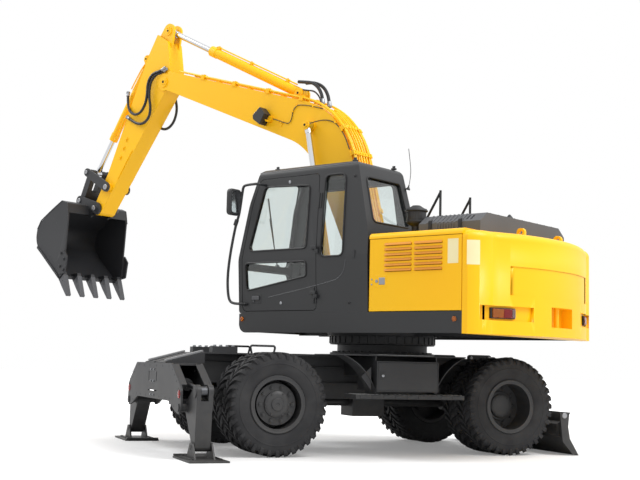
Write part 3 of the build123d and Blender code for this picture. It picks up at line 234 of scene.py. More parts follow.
def enamel(name, colour, shade, roughness, coat=0.25, wear=None, peel=0.035, dust=None):
    """Sprayed paint, with thinner paint on worn edges and dust that has settled low down."""
    material, tree, shader, coords = new_material(name)
    blotch = noise(tree, coords, BLOTCH, 3.0)
    tint = ramp(tree, blotch, [(0.3, linear(shade)), (0.7, linear(colour))])
    if dust:
        height = add(tree, "ShaderNodeSeparateXYZ", {"Vector": coords}).outputs["Z"]
        cover = both(tree, stretch(tree, height, 0.0, 0.5, DUST_TOP, 0.0),
                     noise(tree, coords, 14.0, 6.0))
        tint = mix(tree, cover, tint, linear(dust))
    if wear:
        edge = add(tree, "ShaderNodeNewGeometry").outputs["Pointiness"]
        rubbed = both(tree, edge, noise(tree, coords, 60.0, 5.0))
        mask = ramp(tree, rubbed, [(0.36, grey(0)), (0.43, grey(1))])
        tint = mix(tree, mask, tint, linear(wear))
    wire(tree, shader, {
        "Base Color": tint, "Coat Weight": coat, "Coat Roughness": 0.12,
        "Roughness": stretch(tree, blotch, roughness + 0.05, roughness - 0.03, 0.3, 0.7),
        "Normal": relief(tree, noise(tree, coords, ORANGE_PEEL), peel, PEEL_DEPTH)})
    return material


# bright, warm and evenly glossy; keeps its hue in the shade
yellow_enamel = enamel("sprayed_enamel_warm_yellow", "FFC40A", "FFC008", 0.4, coat=0.05)
yellow_enamel.node_tree.nodes["Principled BSDF"].inputs["Specular IOR Level"].default_value = 0.3
# satin dark grey of cab, deck and tanks
charcoal_enamel = enamel("sprayed_enamel_charcoal", "252628", "232426", 0.46, coat=0.03)
# lighter and flatter than the cab's grey: painted light, for the light that falls on the hood's lid from above
hood_enamel_painted_light = enamel("sprayed_enamel_grey_painted_lighter", "595A5D", "535457", 0.6, coat=0.0)
# duller, with dried mud low down
chassis_enamel = enamel("sprayed_enamel_chassis_grey", "292A2D", "252629", 0.52, coat=0.03,
                        dust="5A5752")
# smooth and dark, rubbed to a lighter grey along the edges that dig
bucket_enamel = enamel("sprayed_enamel_worn_on_bucket", "2A2B2E", "26272A", 0.48, coat=0.03,
                       wear="5E5F62")
# pale grey on the top faces of plates
pale_top_plate_grey = enamel("pale_grey_plate_top", "8E8F91", "7D7E80", 0.45, coat=0.0)
print("paints", [m.name for m in bpy.data.materials])

# %% [markdown]
# ## Rubber, plastic, glass and metal
#
# Tyre rubber is dull, with a grain of a few millimetres and a bloom of dust. Hoses are smoother.
# Moulded plastic has a fine spark-eroded grain. Glass is clear with a slight grey tint. The
# cylinder rods are hard chrome, ground and polished along their length.

# %% Other materials
def moulded(name, colour, roughness, grain, depth, specular=0.5, bloom=None):
    """Moulded rubber or plastic with its surface grain; grain is in millimetres."""
    material, tree, shader, coords = new_material(name)
    wire(tree, shader, {
        "Base Color": ramp(tree, noise(tree, coords, 6.0, 4.0),
                           [(0.35, linear(colour)), (0.75, linear(bloom or colour))]),
        "Normal": relief(tree, noise(tree, coords, 1 / (grain * MM), 4.0), 0.3, depth * MM),
        "Roughness": roughness, "Specular IOR Level": specular})
    return material


def metal(name, colour, roughness, spread, grain=2.0):
    """Bare metal: the roughness varies by spread over streaks of a few millimetres."""
    material, tree, shader, coords = new_material(name)
    streak = noise(tree, coords, 1 / (grain * MM), 3.0)
    wire(tree, shader, {"Roughness": stretch(tree, streak, roughness, roughness + spread),
                        "Base Color": linear(colour), "Metallic": 1.0})
    return material


def lens(name, colour, transmission=0.75):
    """Moulded acrylic lamp lens."""
    material, tree, shader, coords = new_material(name)
    flute = add(tree, "ShaderNodeTexWave", {"Vector": coords, "Scale": 1 / 0.012})
    wire(tree, shader, {"Normal": relief(tree, flute.outputs["Fac"], 0.3, 0.001),
                        "Base Color": linear(colour), "Roughness": 0.12, "IOR": 1.49,
                        "Transmission Weight": transmission})
    return material


# dull and slightly grey with road dust, so the lugs read by shade and not by shine
tyre_rubber = moulded("vulcanised_tyre_rubber", "29292B", 0.74, 2.5, 0.5, 0.3, "383839")
# darker and smoother than tyres; a soft line of light runs along each hose
hose_rubber = moulded("hydraulic_hose_rubber", "1A1A1C", 0.42, 1.2, 0.2)
# nearly black, to draw each pane as a dark outline
seal_rubber = moulded("extruded_window_seal_rubber", "141416", 0.5, 0.8, 0.1)
# fine spark-eroded grain that breaks up reflections
black_plastic = moulded("moulded_black_polypropylene", "232426", 0.5, 0.9, 0.15)
# a little lighter, for what a hand touches; on the swage line the same grey is a painted highlight
grip_plastic_and_swage_highlight = moulded("moulded_grey_abs_and_painted_highlight", "4A4B4E", 0.45, 0.7, 0.1)
# near mirror: bright streaks on the rods
chrome = metal("polished_hard_chrome", "D9DBDE", 0.06, 0.05)
# dark: painted shade on the rod eyes that sit inside the legs, where little light reaches
rod_steel_painted_shade = metal("rod_steel_darkened_for_shade", "5B5C5F", 0.4, 0.15)
# turned faces: brighter than paint, softer than chrome
pin_steel = metal("machined_pin_steel", "A4A5A8", 0.3, 0.12)
# pale, slightly streaky plating of bolts and sleeves
zinc = metal("zinc_plated_steel", "9C9EA2", 0.38, 0.15)
# coloured only by the light that goes through the moulding
amber_lens = lens("moulded_amber_acrylic", "F28A12")
red_lens = lens("moulded_red_acrylic", "C4151A")
clear_lens = lens("moulded_clear_acrylic", "F2F4F5", 0.9)

# clear with a faint green-grey tint
glass, tree, shader, coords = new_material("tempered_cab_glass")
wire(tree, shader, {"Base Color": linear("E9EFEE"), "Roughness": 0.02, "IOR": 1.5,
                    "Transmission Weight": 1.0})
print("materials", len(bpy.data.materials))

# %% [markdown]
# ## A small workshop
#
# Most added pieces are plates, bars, turned parts and hoses. Each is started in a bmesh, in the
# millimetres of its own sub-assembly, as a few simple shapes: extruded outlines, blocks, round
# bars, bolts and turned profiles.

# %% Shapes
X, Y, Z = Vector((1, 0, 0)), Vector((0, 1, 0)), Vector((0, 0, 1))
AXES = {"X": X, "Y": Y, "Z": Z}
SIDES = ((1, "left"), (-1, "right"))
SHARP = radians(32.0)    # edges sharper than this get a radius


def span(side, a, b):
    """From a to b on one side of the machine, lower end first."""
    return sorted((side * a, side * b))


def solid(bm, outline, start, end, axis="Y"):
    """Extrudes an outline along an axis. Outline is (x, z) for Y, (y, z) for X, (x, y) for Z."""
    spots = {"X": lambda a, b: (start, a, b), "Y": lambda a, b: (a, start, b),
             "Z": lambda a, b: (a, b, start)}
    corners = [bm.verts.new(spots[axis](a, b)) for a, b in outline]
    side = bm.faces.new(corners)
    grown = bmesh.ops.extrude_face_region(bm, geom=[side])
    moved = [v for v in grown["geom"] if isinstance(v, bmesh.types.BMVert)]
    bmesh.ops.translate(bm, verts=moved, vec=AXES[axis] * (end - start))
    return corners + moved


def brick(bm, low, high):
    """Plain block between two corners."""
    (x0, y0, z0), (x1, y1, z1) = low, high
    return solid(bm, [(x0, z0), (x1, z0), (x1, z1), (x0, z1)], y0, y1)


def aim(a, b):
    """Matrix that takes a part lying along Z, centred, to the middle of a and b."""
    a, b = Vector(a), Vector(b)
    return Matrix.Translation((a + b) / 2) @ (b - a).to_track_quat("Z", "X").to_matrix().to_4x4()


def rod(bm, a, b, radius, sides=20, radius2=None):
    """Round bar between two points, or a cone with a second radius."""
    made = bmesh.ops.create_cone(
        bm, cap_ends=True, segments=sides, radius1=radius,
        radius2=radius if radius2 is None else radius2,
        depth=(Vector(b) - Vector(a)).length, matrix=aim(a, b))
    return made["verts"]


def bolt(bm, spot, way, size=9.0):
    """Hexagon bolt head on its washer; size is half the width of the head."""
    spot, way = Vector(spot), Vector(way).normalized()
    rod(bm, spot, spot + way * size * 0.25, size * 1.35, 16)
    rod(bm, spot + way * size * 0.25, spot + way * size * 1.1, size * 1.15, 6)


def lathe(bm, profile, spot, way, steps=48):
    """Turns a profile of (radius, height) about an axis through spot."""
    spot, way = Vector(spot), Vector(way).normalized()
    place = Matrix.Translation(spot) @ way.to_track_quat("Z", "X").to_matrix().to_4x4()
    line = [bm.verts.new(place @ Vector((r, 0, h))) for r, h in profile]
    edges = [bm.edges.new(pair) for pair in zip(line, line[1:])]
    bmesh.ops.spin(bm, geom=line + edges, cent=spot, axis=way, dvec=(0, 0, 0), angle=2 * pi,
                   steps=steps, use_merge=True, use_duplicate=False)
    bmesh.ops.remove_doubles(bm, verts=bm.verts, dist=0.01)


def button(bm, spot, way, radius, rim, top, height, steps=32):
    """Round boss that stands straight up to its rim and then slopes in to its top."""
    lathe(bm, [(0, 0), (radius, 0), (radius, rim), (top, height), (0, height)], spot, way, steps)


print("shapes ready")

# %% [markdown]
# A shape becomes a piece when it gets its finish, its rounded edges and the body that it rides
# on. Hoses, pipes and wires are drawn as one smooth curve through loose control points, with a
# round section along it.

# %% From shapes to pieces
def smooth(mesh):
    """Smooth shading across shallow edges, crisp across the others."""
    mesh.shade_smooth()
    mesh.set_sharp_from_angle(angle=SHARP)


def hang(name, mesh, material, body, radius=0.0, segments=2):
    """Makes a piece of a mesh: its finish, rounded edges, and the body that it rides on."""
    mesh.materials.clear()
    mesh.materials.append(material)
    smooth(mesh)
    piece = bpy.data.objects.new(name, mesh)
    bpy.context.scene.collection.objects.link(piece)
    if radius:
        bevel = piece.modifiers.new("edge radius", "BEVEL")
        bevel.width = radius * MM
        bevel.segments = segments
        bevel.limit_method = "ANGLE"
        bevel.angle_limit = SHARP
        bevel.harden_normals = True
    if body:
        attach(piece, body)
    return piece


def settle(name, bm, material, body, place, radius=0.0, segments=2):
    """Ends a piece made in a bmesh: into place, faces outwards, then hung."""
    bmesh.ops.transform(bm, matrix=place, verts=bm.verts)
    bmesh.ops.recalc_face_normals(bm, faces=bm.faces)
    mesh = bpy.data.meshes.new(name)
    bm.to_mesh(mesh)
    bm.free()
    return hang(name, mesh, material, body, radius, segments)


def tube(name, points, radius, material, body, place, ends=3, round_=12):
    """Hose, pipe or wire on one smooth curve through loose control points."""
    curve = bpy.data.curves.new(name, "CURVE")
    curve.dimensions = "3D"
    curve.bevel_depth = radius * MM
    curve.bevel_resolution = max(1, round_ // 4 - 1)
    curve.resolution_u = 8
    curve.use_fill_caps = True
    line = curve.splines.new("NURBS")
    line.points.add(len(points) - 1)
    for point, spot in zip(line.points, points):
        point.co = (*(place @ Vector(spot)), 1.0)
    line.order_u = ends
    line.use_endpoint_u = True
    holder = bpy.data.objects.new(name, curve)
    mesh = bpy.data.meshes.new_from_object(holder)
    bpy.data.objects.remove(holder)
    return hang(name, mesh, material, body)


print("pieces can be hung")

# %% [markdown]
# ## Softening the edges of plates
#
# No real plate has a knife edge: flame cutting, grinding and paint leave a radius of a few
# millimetres, and that radius is what catches the light. A CAD node is left alone, so a copy of
# it is taken. Its loose triangles are merged, flat areas are joined to one face each, and a
# Bevel modifier rounds what is left. The copy then stands for the node.

# %% Dress a CAD node
FLAT = radians(1.0)      # faces closer than this are one flat face


def dress(node, material, radius):
    """A copy of a CAD node with merged faces and rounded edges, radius in millimetres."""
    bm = bmesh.new()
    bm.from_mesh(NODES[node].data)
    bmesh.ops.remove_doubles(bm, verts=bm.verts, dist=2e-5)
    bmesh.ops.dissolve_limit(bm, angle_limit=FLAT, verts=bm.verts, edges=bm.edges,
                             use_dissolve_boundaries=False)
    mesh = bpy.data.meshes.new(f"{node}_dressed")
    bm.to_mesh(mesh)
    bm.free()
    piece = hang(mesh.name, mesh, material, BODY_OF[node], radius)
    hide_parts(node)


DRESSED = {
    yellow_enamel: [("boom", 5), ("arm", 5), ("counterweight", 8), ("engine_bay", 4),
                    ("lift_eyes", 4),
                    ("bay_door_left", 3), ("bay_door_right", 3), ("boom_barrels", 2),
                    ("arm_barrel", 2), ("bucket_barrel", 2)],
    charcoal_enamel: [("deck", 5), ("cab_shell", 5), ("cab_door", 4), ("right_tanks", 4),
                      ("upper_ring", 4)],
    hood_enamel_painted_light: [("hood", 5)],
    chassis_enamel: [("chassis", 5), ("slew_ring", 4), ("front_axle", 4), ("rear_axle", 4),
                     ("driveline", 3), ("side_boxes", 3), ("side_box_door", 3),
                     ("outrigger_box", 4), ("knuckle_left", 3), ("knuckle_right", 3),
                     ("outrigger_leg_left", 4), ("outrigger_leg_right", 4),
                     ("outrigger_foot_left", 3), ("outrigger_foot_right", 3), ("blade", 4),
                     ("outrigger_barrel_left", 2), ("outrigger_barrel_right", 2),
                     ("blade_barrels", 2), ("rims_front_left", 2), ("rims_front_right", 2),
                     ("rims_rear_left", 2), ("rims_rear_right", 2), ("engine", 6)],
    bucket_enamel: [("bucket", 4), ("rocker", 3), ("bucket_link", 4)],
    chrome: [("boom_rods", 1), ("arm_rod", 1), ("bucket_rod", 1), ("blade_rods", 1),
             ("steering_rod", 1)],
    rod_steel_painted_shade: [("outrigger_rod_left", 1), ("outrigger_rod_right", 1)],
    black_plastic: [("controls", 3), ("pre_cleaner", 3)],
    red_lens: [("tail_lamps", 2)],
}
for material, nodes in DRESSED.items():
    for node, radius in nodes:
        dress(node, material, radius)
for node in ("cab_glass", "cab_door_glass"):
    panes = NODES[node].data.materials
    panes.clear()
    panes.append(glass)
print("dressed", sum(len(v) for v in DRESSED.values()), "nodes")

# %% [markdown]
# ## Tyres
#
# Excavator tyres carry traction tread: two rows of heavy lugs that run from the shoulder to the
# middle and bend forwards on the way, one row half a pitch behind the other. The carcass is a
# turned part, so its half section is spun round the axle. One lug is drawn out of a single
# face, station by station, and then spun round as copies.

# %% Tread and carcass
TYRE_R = 512.0
PAIR_PITCH = 316.0        # middle to middle of the two tyres on a wheel
LUGS = 36
# middle of each wheel, with its axle along Z and pointing outwards
AXLES = {f"{end}_{word}": CARRIER @ (Matrix.Translation((x, side * 915, TYRE_R))
                                     @ Matrix.Rotation(-pi / 2 * side, 4, "X"))
         for end, x in (("front", 1650), ("rear", -960)) for side, word in SIDES}
# half section of the carcass: radius, height from the middle
CARCASS = [(256, 96), (272, 106), (286, 104), (296, 110), (330, 122), (372, 129), (392, 130),
           (396, 133), (404, 133), (408, 130), (440, 128), (468, 122), (486, 108), (490, 80),
           (492, 40), (492, 0)]
# stations of a lug: height, turn forwards (mm), half width, top and bottom radius
LUG = [(132, -4, 17, 448, 425), (134, -2, 23, 480, 440), (129, 2, 25, 503, 452),
       (106, 9, 26, 511, 470), (68, 26, 25, 512, 480), (40, 50, 23, 512, 484),
       (6, 80, 18, 512, 484)]
SIDEWALL = 133.0          # half width of the carcass
UNDERCUT = 18.0           # how far a lug's foot reaches into the sidewall


def on_tread(height, forwards, radius):
    """A spot on the tyre, axle along Z."""
    angle = forwards / TYRE_R
    return Vector((radius * cos(angle), radius * sin(angle), height))


def lug_section(station):
    """Four corners of a lug at one station."""
    height, forwards, half, top, bottom = station
    foot = min(height, SIDEWALL - UNDERCUT)
    return [on_tread(foot, forwards - half, bottom), on_tread(height, forwards - half * 0.8, top),
            on_tread(height, forwards + half * 0.8, top), on_tread(foot, forwards + half, bottom)]


def tyre(bm):
    """One tyre about Z."""
    lathe(bm, CARCASS + [(r, -h) for r, h in CARCASS[-2::-1]], (0, 0, 0), (0, 0, 1), 96)
    for row in (1, -1):
        made = []
        first = [bm.verts.new(spot) for spot in lug_section(LUG[0])]
        end = bm.faces.new(first)
        made += first
        for station in LUG[1:]:
            grown = bmesh.ops.extrude_face_region(bm, geom=[end])["geom"]
            end = next(g for g in grown if isinstance(g, bmesh.types.BMFace))
            corners = [g for g in grown if isinstance(g, bmesh.types.BMVert)]
            targets = lug_section(station)
            for corner in corners:
                before = lug_section(LUG[LUG.index(station) - 1])
                which = min(range(4), key=lambda k: (before[k] - corner.co).length)
                corner.co = targets[which]
            made += corners
        geom = made + list({f for v in made for f in v.link_faces})
        geom += list({e for v in made for e in v.link_edges})
        if row < 0:
            bmesh.ops.transform(bm, verts=made, matrix=Matrix.Rotation(pi / LUGS, 4, "Z")
                                @ Matrix.Scale(-1, 4, (0, 0, 1)))
        bmesh.ops.spin(bm, geom=geom, cent=(0, 0, 0), axis=(0, 0, 1), dvec=(0, 0, 0),
                       angle=2 * pi * (LUGS - 1) / LUGS, steps=LUGS - 1, use_duplicate=True)


for spot, axle in AXLES.items():
    bm = bmesh.new()
    tyre(bm)
    pair = bm.verts[:] + bm.edges[:] + bm.faces[:]
    bmesh.ops.translate(bm, verts=bm.verts, vec=(0, 0, PAIR_PITCH / 2))
    bmesh.ops.duplicate(bm, geom=pair)
    bm.verts.ensure_lookup_table()
    bmesh.ops.translate(bm, verts=bm.verts[len(bm.verts) // 2:], vec=(0, 0, -PAIR_PITCH))
    piece = settle(f"tread_tyres_{spot}", bm, tyre_rubber, f"wheel_{spot}", axle)
    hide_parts(f"tyres_{spot}")
    print(piece.name, len(piece.data.polygons), "faces")

# %% [markdown]
# ## Steel pipes over the boom
#
# Oil reaches the arm and the bucket through drawn steel pipes that are painted with the boom.
# They follow its back, over the knee, a few centimetres above the plate. The two outer pairs run
# on to the end of the boom, and the middle ones stop behind the arm's cylinder. Clamps of two
# halves hold them at even steps.

# %% Pipes and clamps
KNEE, KNEE_R = Vector((1848, 0, 131)), 1100.0   # middle and radius of the boom's knee
BACK, TOP = radians(36.4), radians(-22.9)       # slopes of the boom before and after the knee
PIPE_GAP = 36.0                                 # from the plate to the middle of a pipe
KNEE_STEPS = 13


def on_knee(slope, gap):
    """A spot above the knee, where the boom's back has this slope."""
    return KNEE + (KNEE_R + gap) * Vector((-sin(slope), 0, cos(slope)))


def over_boom(y, before, after, last=1.0, gap=PIPE_GAP):
    """Line along the boom's back: before the knee, over a share of it, and after it."""
    spots = [on_knee(BACK, gap) - before * Vector((cos(BACK), 0, sin(BACK)))]
    spots += [on_knee(BACK + (TOP - BACK) * last * k / (KNEE_STEPS - 1), gap)
              for k in range(KNEE_STEPS)]
    if after:
        spots.append(spots[-1] + after * Vector((cos(TOP), 0, sin(TOP))))
    return [(spot.x, y, spot.z) for spot in spots]


for number, (y, radius, after, last) in enumerate([
        (128, 13, 2330, 1.0), (156, 13, 2330, 1.0), (-128, 13, 2330, 1.0), (-156, 13, 2330, 1.0),
        (34, 15, 0, 0.62), (-20, 15, 0, 0.7), (76, 9, 0, 0.66), (-70, 13, 0, 0.7)]):
    tube(f"boom_pipe_{number}", over_boom(y, 1120, after, last), radius, yellow_enamel, "boom",
         BOOM, 2)

bm = bmesh.new()
for side in (1, -1):
    for spot, slope in ([(on_knee(TOP, 0) + run * Vector((cos(TOP), 0, sin(TOP))), TOP)
                         for run in (60, 640, 1250, 1850)]
                        + [(on_knee(s, 0), s) for s in (radians(15), radians(33))]
                        + [(on_knee(BACK, 0) - 620 * Vector((cos(BACK), 0, sin(BACK))), BACK)]):
        turn = Matrix.Translation(spot) @ Matrix.Rotation(-slope, 4, "Y")
        made = brick(bm, (-26, side * 142 - 36, -2), (26, side * 142 + 36, PIPE_GAP + 20))
        made += brick(bm, (-34, side * 142 - 44, -4), (34, side * 142 + 44, 8))
        bmesh.ops.transform(bm, matrix=turn, verts=made)
        for x in (-14, 14):
            bolt(bm, turn @ Vector((x, side * 142, PIPE_GAP + 20)), turn.to_3x3() @ Z, 8)
settle("boom_pipe_clamps", bm, yellow_enamel, "boom", BOOM, 2)
bm = bmesh.new()
for slope in (radians(14), radians(33)):
    turn = Matrix.Translation(on_knee(slope, 0)) @ Matrix.Rotation(-slope, 4, "Y")
    made = brick(bm, (-22, -92, -3), (22, 96, PIPE_GAP + 19))
    bmesh.ops.transform(bm, matrix=turn, verts=made)
    for y in (-45, 7, 56):
        bolt(bm, turn @ Vector((0, y, PIPE_GAP + 19)), turn.to_3x3() @ Z, 8)
settle("middle_pipe_clamps", bm, yellow_enamel, "boom", BOOM, 2)
print("boom pipes and clamps in place")

# %% [markdown]
# ## Hoses at the arm's pivot
#
# Where the arm turns, the steel pipes change to wire-braided hoses. A pair hangs in an S beside
# the pivot on the left, and one makes a loop on the right, each from the boom to the arm. Their
# ends are crimped into plated sleeves.

# %% Hoses that bend
SLEEVE_L = 70.0    # crimped sleeve at a hose's end


def sleeve(name, a, b, radius, body, place):
    """Plated sleeve and nut at the end of a hose, from a towards b."""
    a, b = Vector(a), Vector(b)
    tip = a + (b - a).normalized() * SLEEVE_L
    bm = bmesh.new()
    rod(bm, a, tip, radius * 1.25, 20)
    rod(bm, a, a + (tip - a) * 0.35, radius * 1.55, 6)
    settle(name, bm, zinc, body, place, 1)


def bending_hose(name, points, radius, a, b, place):
    """Hose from body a to body b, with a sleeve at both ends."""
    hose = tube(name, points, radius, hose_rubber, None, place)
    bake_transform(hose)
    sleeve(f"{name}_first_sleeve", points[0], points[1], radius, a, place)
    sleeve(f"{name}_last_sleeve", points[-1], points[-2], radius, b, place)


bending_hose("arm_hose_upper", [
    (-165, 152, 120), (-85, 186, 140), (10, 200, 243), (157, 206, 240), (290, 204, 135),
    (411, 198, 82), (560, 186, 96), (656, 176, 190), (682, 160, 345), (616, 130, 500),
    (520, 96, 622)], 19, "boom", "arm", ARM)
bending_hose("arm_hose_lower", [
    (-160, 126, 105), (-90, 168, 112), (5, 182, 205), (150, 190, 205), (300, 194, 95),
    (380, 192, -20), (490, 186, -88), (600, 178, -72), (700, 168, 12), (756, 158, 180),
    (770, 150, 340)], 19, "boom", "arm", ARM)
bending_hose("arm_hose_right", [
    (-165, -152, 120), (-70, -184, 140), (80, -192, 150), (190, -186, 30), (290, -176, -130),
    (465, -168, -205), (620, -160, -150), (676, -154, 0), (680, -150, 110)],
    19, "boom", "arm", ARM)
print("hoses at the arm's pivot")

# %% [markdown]
# The arm's cylinder gets its oil at its base: two thick hoses in spiral guards rise over the
# lugs from the middle pipes, with one thin hose beside them.

# %% Hoses to the arm's cylinder
for name, radius, points in (
        ("arm_ram_hose_left", 21, [(2108, 34, 1226), (2150, 30, 1262), (2215, 24, 1312),
                                   (2330, 20, 1350), (2440, 20, 1342), (2545, 20, 1285),
                                   (2640, 22, 1232)]),
        ("arm_ram_hose_right", 21, [(2040, -20, 1242), (2090, -24, 1286), (2175, -34, 1342),
                                    (2292, -40, 1376), (2400, -36, 1364), (2500, -26, 1318),
                                    (2560, -24, 1270)])):
    hose = tube(name, points, radius, hose_rubber, None, BOOM)
    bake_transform(hose)
    sleeve(f"{name}_sleeve", points[0], points[1], radius, "boom", BOOM)
tube("grease_hose_to_arm_ram", [(2090, 76, 1214), (2135, 72, 1262), (2228, 66, 1290),
                                       (2325, 62, 1286), (2418, 60, 1232), (2490, 60, 1200)],
     10, hose_rubber, "boom", BOOM)


def ram_frame(foot, eye):
    """Frame of a ram, from the pin at its foot towards the one at its rod's eye."""
    return frame_from(foot, eye - foot, LEFT)


ARM_RAM = ram_frame(BOOM @ Vector((2500, 0, 1140)), ARM @ Vector((-555, 0, 489)))
BUCKET_RAM = ram_frame(ARM @ Vector((-25, 0, 630)), ARM @ Vector((1819, 0, 488)))
ARM_GLAND = 1790.0    # end of the barrel, from its pin
tube("arm_ram_pipe", [(130, 10, 84), (240, 10, 84), (ARM_GLAND - 200, 10, 84),
                      (ARM_GLAND - 90, 8, 88), (ARM_GLAND - 60, 6, 66)], 10, yellow_enamel,
     "arm_barrel", ARM_RAM, 2)
tube("bucket_ram_pipe", [(490, 62, 40), (440, 70, 30), (300, 72, 20), (150, 68, 14),
                         (80, 52, 10)], 9, yellow_enamel, "bucket_barrel", BUCKET_RAM)
tube("bucket_ram_head_pipe", [(770, 150, 350), (800, 146, 380), (960, 140, 352),
                              (1120, 136, 330), (1180, 120, 380)], 10, yellow_enamel, "arm", ARM)
bm = bmesh.new()
for x in (300, 1000, ARM_GLAND - 130):
    brick(bm, (x - 14, -14, 60), (x + 14, 34, 98))
    bolt(bm, (x, 22, 98), Z, 8)
settle("arm_ram_pipe_clips", bm, yellow_enamel, "arm_barrel", ARM_RAM, 2)
print("rams have their pipes")

# %% [markdown]
# ## Pins, caps and brackets of the working gear
#
# Each pin of the boom and the arm ends in a painted flange held by bolts, with a dark rubber cap
# over its grease hole. Where the rocker hangs, the pins are bare turned steel, and beside the
# chromed rods they are the brightest spots of the working gear.

# %% Pin ends


def pin_end(bm, x, y, z, radius, reach):
    """Turned pin end with a chamfer and a grease nipple, outwards from y."""
    way = Y * (1 if y > 0 else -1)
    lathe(bm, [(0, 0), (radius, 0), (radius, reach - 4), (radius - 4, reach), (12, reach),
               (9, reach - 6), (0, reach - 6)], (x, y, z), way, 32)


def pin_plate(bm, x, y, z, radius, turn):
    """Flange round a pin's end: a lobe to one side takes the locking bolts."""
    side = 1 if y > 0 else -1
    way = Y * side
    rod(bm, (x, y - side, z), (x, y + side * 12, z), radius, 32)
    for k in (-1, 1):
        angle = turn + k * 0.42
        bolt(bm, (x + 0.8 * radius * cos(angle), y + side * 12, z + 0.8 * radius * sin(angle)),
             way, 9)


def pins_of(body, place, spots):
    """Plates and bright ends for pins given as (x, z, half width, radius, turn of the lobe)."""
    plates, ends = bmesh.new(), bmesh.new()
    for x, z, half, radius, turn in spots:
        for side in (1, -1):
            pin_plate(plates, x, side * half, z, radius * 1.55, turn)
            pin_end(plates, x, side * (half + 10), z, radius * 0.9, 10)
            pin_end(ends, x, side * (half + 14), z, radius * 0.4, 12)
    settle(f"pin_plates_{body}", plates, yellow_enamel, body, place, 2)
    settle(f"pin_caps_{body}", ends, seal_rubber, body, place, 1)


pins_of("boom", BOOM, [(1974, 964, 272, 38, 2.2), (4600, 0, 165, 46, 2.6),
                       (2500, 1140, 72.5, 38, -1.6)])
pins_of("arm", ARM, [(-555, 489, 82, 38, 2.4), (-25, 630, 67.5, 34, 3.0)])
bm = bmesh.new()
for side in (1, -1):
    pin_end(bm, 1743, side * 206, -4, 40, 10)
settle("rocker_pin_ends", bm, pin_steel, "arm", ARM, 1)
print("pins dressed")

# %% [markdown]
# ## Work lamp and small brackets
#
# The work lamp sits in a moulded housing on the boom's left side, and its wire is clipped back
# to the pipes. A thin line brings grease to the boom's cylinder. Small plates along the arm
# carry its pipes.

# %% Work lamp, wires and brackets
bm = bmesh.new()
lamp_face = [(2600, 566), (2622, 716), (2742, 738), (2776, 590), (2740, 556)]
solid(bm, lamp_face, 168, 292)
settle("work_lamp_housing", bm, black_plastic, "boom", BOOM, 8, 3)
bm = bmesh.new()
solid(bm, [(2748, 728), (2780, 594), (2787, 597), (2755, 730)], 182, 278)
settle("work_lamp_lens", bm, clear_lens, "boom", BOOM, 2)
bm = bmesh.new()
solid(bm, [(2380, 700), (2380, 772), (2600, 716), (2600, 660)], 164, 172)
solid(bm, [(2560, 640), (2560, 716), (2640, 700), (2640, 630)], 164, 196)
for x, z in ((2410, 742), (2450, 728), (2560, 696)):
    bolt(bm, (x, 172, z), Y, 11)
settle("work_lamp_bracket", bm, yellow_enamel, "boom", BOOM, 2)
tube("work_lamp_wire", [(2560, 178, 700), (2450, 182, 742), (2340, 178, 776), (2286, 174, 808),
                        (2300, 173, 880), (2345, 173, 950), (2342, 173, 1037),
                        (2262, 173, 1094), (2111, 173, 1168), (1960, 172, 1230)],
     5, hose_rubber, "boom", BOOM)
tube("grease_line_to_boom_ram", [(1955, 240, 1010), (1897, 190, 1098), (1803, 174, 1168),
                                 (1687, 172, 1205), (1560, 172, 1190), (1427, 170, 1150),
                                 (1300, 170, 1080)], 6, hose_rubber, "boom", BOOM)
bm = bmesh.new()
for x, z in ((2342, 1037), (2345, 950), (1687, 1205), (2111, 1168)):
    brick(bm, (x - 12, 163, z - 9), (x + 12, 181, z + 9))
settle("wire_clips", bm, yellow_enamel, "boom", BOOM, 2)
bm = bmesh.new()
for side in (1, -1):
    low, high = span(side, 129, 141)
    for x, z in ((1028, 150), (1150, 118), (1290, 88)):
        brick(bm, (x - 30, low, z - 14), (x + 30, high, z + 14))
        bolt(bm, (x, side * 141, z), Y * side, 9)
    solid(bm, [(1080, -60), (1560, -78), (1560, -66), (1080, -48)], low, high)
settle("arm_side_brackets", bm, yellow_enamel, "arm", ARM, 2)
print("lamp, wires and brackets")

# %% [markdown]
# ## Outside of the cab
#
# Every pane sits in an extruded rubber seal. A window's outline is drawn flat, its corners are
# rounded, and the line is then laid on the skin of the cab, which leans inwards above the
# waist. The door has a recessed handle, pressed hinges and a lock, and a thin swage line runs
# along the side.

# %% Lines on the cab's skin
SIDE = 1235.0            # half width of the upper works
WAIST = 2040.0           # above this height the cab's sides lean inwards
LEAN = 90 / 1025
FRONT = [(1450, 1073), (2060, 1110), (2670, 1010), (3065, 880)]   # height, distance ahead


def side_at(x, z, out=0.0):
    """Spot on the cab's left skin."""
    return (x, SIDE + out - LEAN * max(0.0, z - WAIST), z)


def front_at(y, z, out=0.0):
    """Spot on the cab's front."""
    for (z0, x0), (z1, x1) in zip(FRONT, FRONT[1:]):
        if z <= z1:
            break
    return (x0 + (x1 - x0) * (z - z0) / (z1 - z0) + out, y, z)


def back_at(y, z, out=0.0):
    """Spot on the cab's back."""
    return (-690 + (z - 2260) * 200 / 785 - out, y, z)


def inner_at(x, z, out=0.0):
    """Spot on the cab's right skin, beside the boom."""
    return (x, 315 - out + 40 / 1025 * max(0.0, z - WAIST), z)


def rounded(outline, steps=5):
    """Closed line with arcs at its corners, from (a, b, radius)."""
    spots = []
    for k, (a, b, radius) in enumerate(outline):
        here = Vector((a, b))
        before = Vector(outline[k - 1][:2])
        after = Vector(outline[(k + 1) % len(outline)][:2])
        u, v = (before - here).normalized(), (after - here).normalized()
        half = u.angle(v) / 2
        cut = min(radius * cos(half) / sin(half), (before - here).length / 2,
                  (after - here).length / 2)
        for i in range(steps + 1):
            t = i / steps
            spots.append((1 - t) ** 2 * (here + u * cut) + 2 * t * (1 - t) * here
                         + t ** 2 * (here + v * cut))
    return spots + spots[:1]


